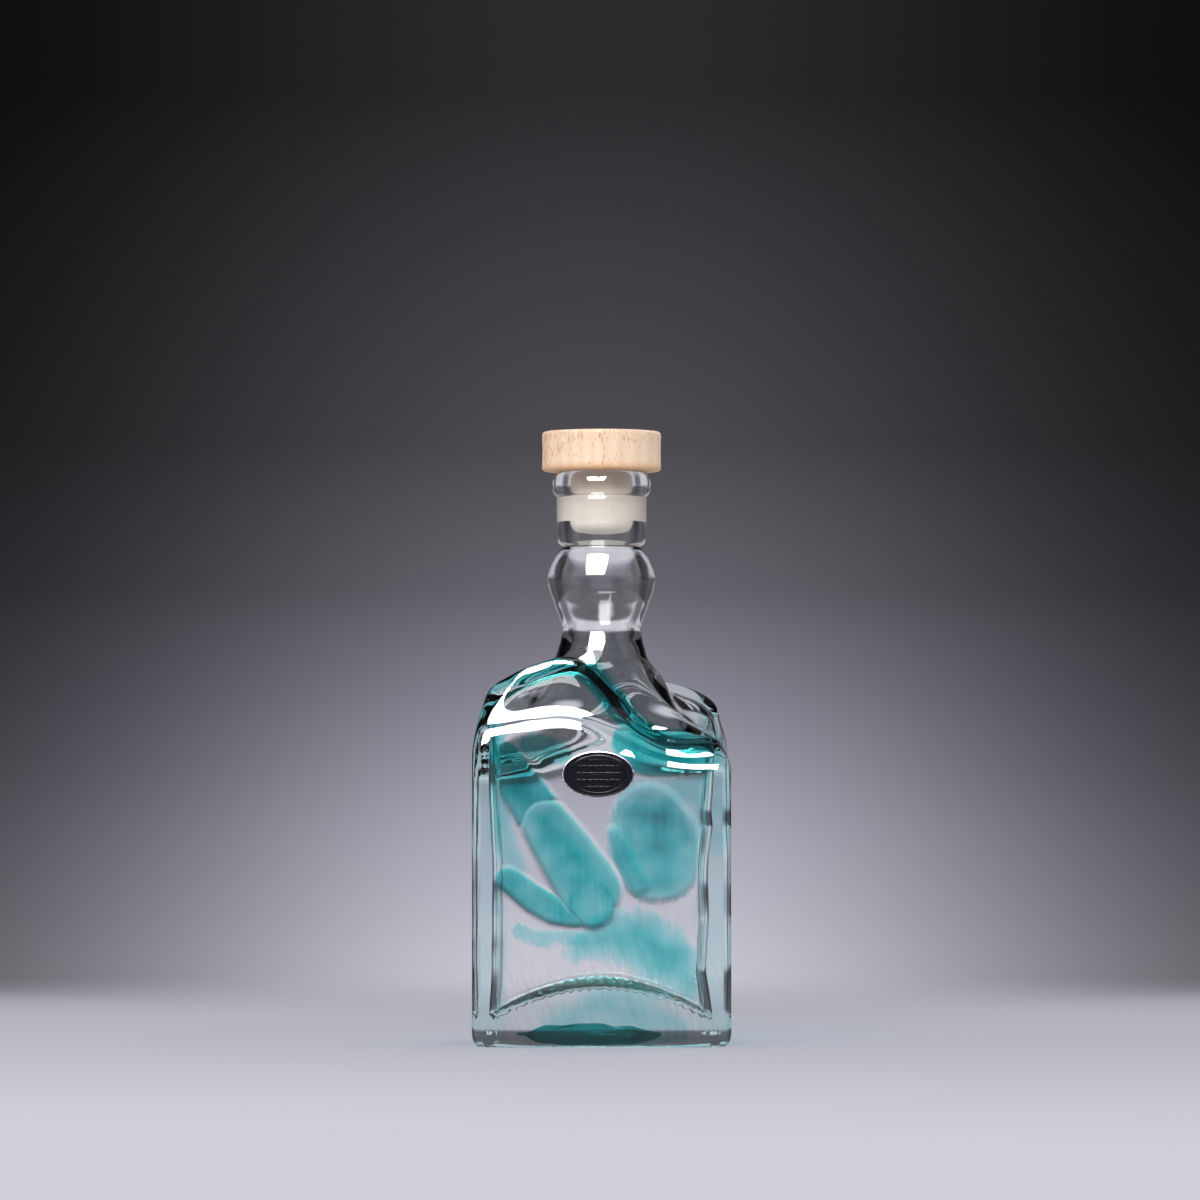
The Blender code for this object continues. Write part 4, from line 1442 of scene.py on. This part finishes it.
@dataclass
class Studio:
    """Pale floor, graded backdrop, soft lamps and the camera at the photograph's viewing angle."""

    eye_distance: float = 2.2
    eye_height: float = 0.105
    eye_offset: float = -0.6 * MM
    frame_pixels: int = 1200
    focal_pixels: float = 5820.0
    horizon_row: float = 765.0
    sensor_width: float = 36.0
    far_limit: float = 50.0
    floor_points: int = 96
    floor_radius: float = 0.75
    floor_fade: float = 0.25
    floor_colour: str = "#BFBEC7"
    backdrop: tuple[tuple[float, str], ...] = (
        (-0.050, "#D0CFD7"), (0.115, "#2C2A2D"), (-0.032, "#C8C6D2"), (-0.012, "#B1AFBD"),
        (0.012, "#888693"), (0.030, "#66656D"), (0.055, "#4C4B50"),
    )
    glow_width: Pair = (4.6, 3.9)
    dimmest: float = 0.10
    wings: Pair = (20.0, 38.0)
    wing_dimmest: float = 0.2
    glass_ceiling: float = 0.045
    fill_colour: str = "#E6E6EA"
    fill: float = 0.84
    sheen: float = 35.0
    lamp_size: Pair = (0.75, 1.0)
    lamp_place: Triple = (-0.18, -0.75, 0.85)
    lamp_target: Triple = (0.0, 0.0, 0.12)
    lamp_power: float = 6.2
    panel_place: Triple = (-0.178, -0.742, 0.842)

    def place_camera(self) -> None:
        """Places the camera level with the horizon's row, tilted so that the frame's middle row is right."""
        camera = bpy.data.objects.new("camera", bpy.data.cameras.new("camera"))
        camera.data.sensor_width = self.sensor_width
        camera.data.lens = self.sensor_width * self.focal_pixels / self.frame_pixels
        camera.data.clip_end = self.far_limit
        tilt = math.atan((self.horizon_row - self.frame_pixels / 2) / self.focal_pixels)
        camera.location = (self.eye_offset, -self.eye_distance, self.eye_height)
        camera.rotation_euler = (math.pi / 2 + tilt, 0.0, 0.0)
        bpy.context.scene.collection.objects.link(camera)
        bpy.context.scene.camera = camera

    def place_lamp(self, name: str, place: Triple, target: Triple, power: float) -> Piece:
        """Places a soft rectangular lamp.

        Args:
            name: The lamp's name.
            place: Where it stands, in metres.
            target: Where it points.
            power: In watts.

        Returns:
            The lamp's object.
        """
        lamp = bpy.data.lights.new(name, "AREA")
        lamp.shape = "RECTANGLE"
        lamp.size, lamp.size_y = self.lamp_size
        lamp.energy = power
        holder = bpy.data.objects.new(name, lamp)
        holder.location = place
        aim = np.array(target) - np.array(place)
        flat = math.hypot(aim[0], aim[1])
        holder.rotation_euler = (math.atan2(flat, -aim[2]), 0.0, math.atan2(-aim[0], aim[1]))
        holder.visible_camera = False
        bpy.context.scene.collection.objects.link(holder)
        return holder

    def build_floor(self) -> None:
        """Lays a round pale floor whose edge fades into the backdrop."""
        points = turned_grid(np.array([[self.floor_radius, 0.0]]), self.floor_points)[0]
        mesh = bpy.data.meshes.new("studio_floor")
        mesh.from_pydata(points.tolist(), [], [list(range(self.floor_points))])
        floor = bpy.data.objects.new("studio_floor", mesh)
        bpy.context.scene.collection.objects.link(floor)
        material, tree = fresh_material("pale_floor")
        place = add(tree, "TexCoord").outputs["Object"]
        reach = add(tree, "VectorMath", {0: place}, operation="LENGTH").outputs["Value"]
        faded = add(tree, "MapRange", {
            "Value": reach, "From Min": self.floor_fade, "From Max": self.floor_radius,
        }, **SMOOTH)
        surface = add(tree, "BsdfDiffuse", {"Color": self.floor_colour})
        clear = add(tree, "BsdfTransparent")
        mixed = add(tree, "MixShader", {0: faded, 1: surface, 2: clear})
        add(tree, "OutputMaterial", {"Surface": mixed})
        mesh.materials.append(material)

    def glow(self, tree: Tree, x: Source, y: Source, z: Source, eye: Source) -> Source:
        """Adds the backdrop's strength: brightest straight behind the bottle on each of four sides.

        For the eye, the angle off the nearest side is divided by the glow's width, and the strength falls
        off as a bell curve of it; below the horizon it is full, so that the floor's far edge blends in.
        Glass and reflections see an even backdrop as far as its wings.

        Args:
            tree: The world's tree.
            x: The direction's X.
            y: Its Y.
            z: Its Z.
            eye: Whether the eye sees it straight, 0 or 1.

        Returns:
            The strength, from the dimmest to 1.
        """
        bearing = add(tree, "Math", {0: x, 1: y}, operation="ARCTAN2")
        off = add(tree, "Math", {0: bearing, 1: math.pi / 4}, operation="PINGPONG")
        low, high = (math.radians(width) for width in self.glow_width)
        width = add(tree, "MapRange", {
            "Value": z, "From Min": -0.045, "From Max": 0.0, "To Min": low, "To Max": high,
        })
        share = add(tree, "Math", {0: off, 1: width}, operation="DIVIDE")
        square = add(tree, "Math", {0: share, 1: share}, operation="MULTIPLY")
        falling = add(tree, "Math", {0: 1 / math.e, 1: square}, operation="POWER")
        side = add(tree, "Math", {
            0: falling, 1: 1 - self.dimmest, 2: self.dimmest,
        }, operation="MULTIPLY_ADD")
        under = add(tree, "MapRange", {"Value": z, "From Min": -0.034, "From Max": -0.047}, **SMOOTH)
        straight = add(tree, "Math", {0: side, 1: under}, operation="MAXIMUM")
        near, far = (math.radians(angle) for angle in self.wings)
        bent = add(tree, "MapRange", {
            "Value": off, "From Min": near, "From Max": far, "To Min": 1.0, "To Max": self.wing_dimmest,
        }, **SMOOTH)
        return add(tree, "Mix", {"Factor": eye, 2: bent, 3: straight}, data_type="FLOAT")

    def build_world(self) -> None:
        """Grades the backdrop by height for the eye, reflections and glass, and gives an even fill light."""
        world = bpy.data.worlds.new("studio")
        world.use_nodes = True
        bpy.context.scene.world = world
        tree = world.node_tree
        tree.nodes.clear()
        x, y, z = add(tree, "SeparateXYZ", {0: add(tree, "TexCoord").outputs["Generated"]}).outputs
        low, high = self.backdrop[0][0], self.backdrop[1][0]
        path = add(tree, "LightPath").outputs
        level = add(tree, "Math", {0: z, 1: self.glass_ceiling}, operation="MINIMUM")
        level = add(tree, "Mix", {"Factor": path["Is Camera Ray"], 2: level, 3: z}, data_type="FLOAT")
        share = add(tree, "MapRange", {"Value": level, "From Min": low, "From Max": high})
        stops = [((level - low) / (high - low), colour) for level, colour in self.backdrop]
        ramp = add(tree, "ValToRGB", {"Fac": share}, ramp=stops)
        strength = self.glow(tree, x, y, z, path["Is Camera Ray"])
        seen = add(tree, "Background", {"Color": ramp, "Strength": strength})
        fill = add(tree, "Background", {"Color": self.fill_colour, "Strength": self.fill})
        sight = add(tree, "Math", {0: path["Is Camera Ray"], 1: path["Is Glossy Ray"]}, operation="ADD")
        sight = add(tree, "Math", {
            0: sight, 1: path["Is Transmission Ray"],
        }, operation="ADD", use_clamp=True)
        first = add(tree, "Math", {0: path["Diffuse Depth"], 1: 0.5}, operation="LESS_THAN")
        sight = add(tree, "Math", {0: sight, 1: first}, operation="MULTIPLY")
        mixed = add(tree, "MixShader", {0: sight, 1: fill, 2: seen})
        add(tree, "OutputWorld", {"Surface": mixed})

    def place_sheen(self, place: Triple, turn: Any) -> None:
        """Hangs a glowing panel the lamp's size in front of it, which only glass and reflections see.

        To light that a matt surface gathers, the panel is clear.

        Args:
            place: Where it hangs, in metres.
            turn: Its turn, as the lamp's.
        """
        mesh = bpy.data.meshes.new("softbox_sheen")
        x, y = self.lamp_size[0] / 2, self.lamp_size[1] / 2
        mesh.from_pydata([(-x, -y, 0.0), (x, -y, 0.0), (x, y, 0.0), (-x, y, 0.0)], [], [(0, 1, 2, 3)])
        panel = bpy.data.objects.new("softbox_sheen", mesh)
        panel.location = place
        panel.rotation_euler = turn
        panel.visible_camera = panel.visible_diffuse = panel.visible_shadow = False
        bpy.context.scene.collection.objects.link(panel)
        material, tree = fresh_material("softbox_front")
        depth = add(tree, "LightPath").outputs["Diffuse Depth"]
        first = add(tree, "Math", {0: depth, 1: 0.5}, operation="LESS_THAN")
        glow = add(tree, "Emission", {"Strength": self.sheen})
        clear = add(tree, "BsdfTransparent")
        mixed = add(tree, "MixShader", {0: first, 1: clear, 2: glow})
        add(tree, "OutputMaterial", {"Surface": mixed})
        material.cycles.emission_sampling = "NONE"
        mesh.materials.append(material)

    def build(self) -> None:
        """Sets up the whole studio: the softbox's bright front only shows in glass and reflections."""
        self.place_camera()
        self.build_floor()
        self.build_world()
        softbox = self.place_lamp("softbox", self.lamp_place, self.lamp_target, self.lamp_power)
        softbox.visible_glossy = False
        self.place_sheen(self.panel_place, softbox.rotation_euler)
        bpy.context.scene.view_settings.view_transform = "Standard"


def main() -> None:
    """Builds the studio, the vessel, its sticker and the stopper."""
    logging.basicConfig(level=logging.INFO, format="%(name)s: %(message)s")
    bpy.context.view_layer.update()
    Studio().build()
    low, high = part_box("glass_bottle")
    glass = Vessel(width=high.x - low.x, depth=high.y - low.y, height=high.z).build()
    MeltedPool().build()
    sticker_low, sticker_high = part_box("label_sticker")
    Sticker(
        half_width=(sticker_high.x - sticker_low.x) / 2,
        half_height=(sticker_high.z - sticker_low.z) / 2,
        centre_height=(sticker_high.z + sticker_low.z) / 2 - STICKER_DROP,
        glass=glass,
    ).build()
    head_low, head_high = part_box("stopper_head")
    shank_low, shank_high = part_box("stopper_shank")
    stopper = Stopper(
        head_radius=(head_high.x - head_low.x) / 2,
        head_bottom=head_low.z,
        head_top=head_high.z,
        shank_radius=(shank_high.x - shank_low.x) / 2,
        shank_bottom=shank_low.z,
        shank_top=shank_high.z,
    )
    stopper.build_head()
    stopper.build_shank()


if __name__ == "__main__":
    main()
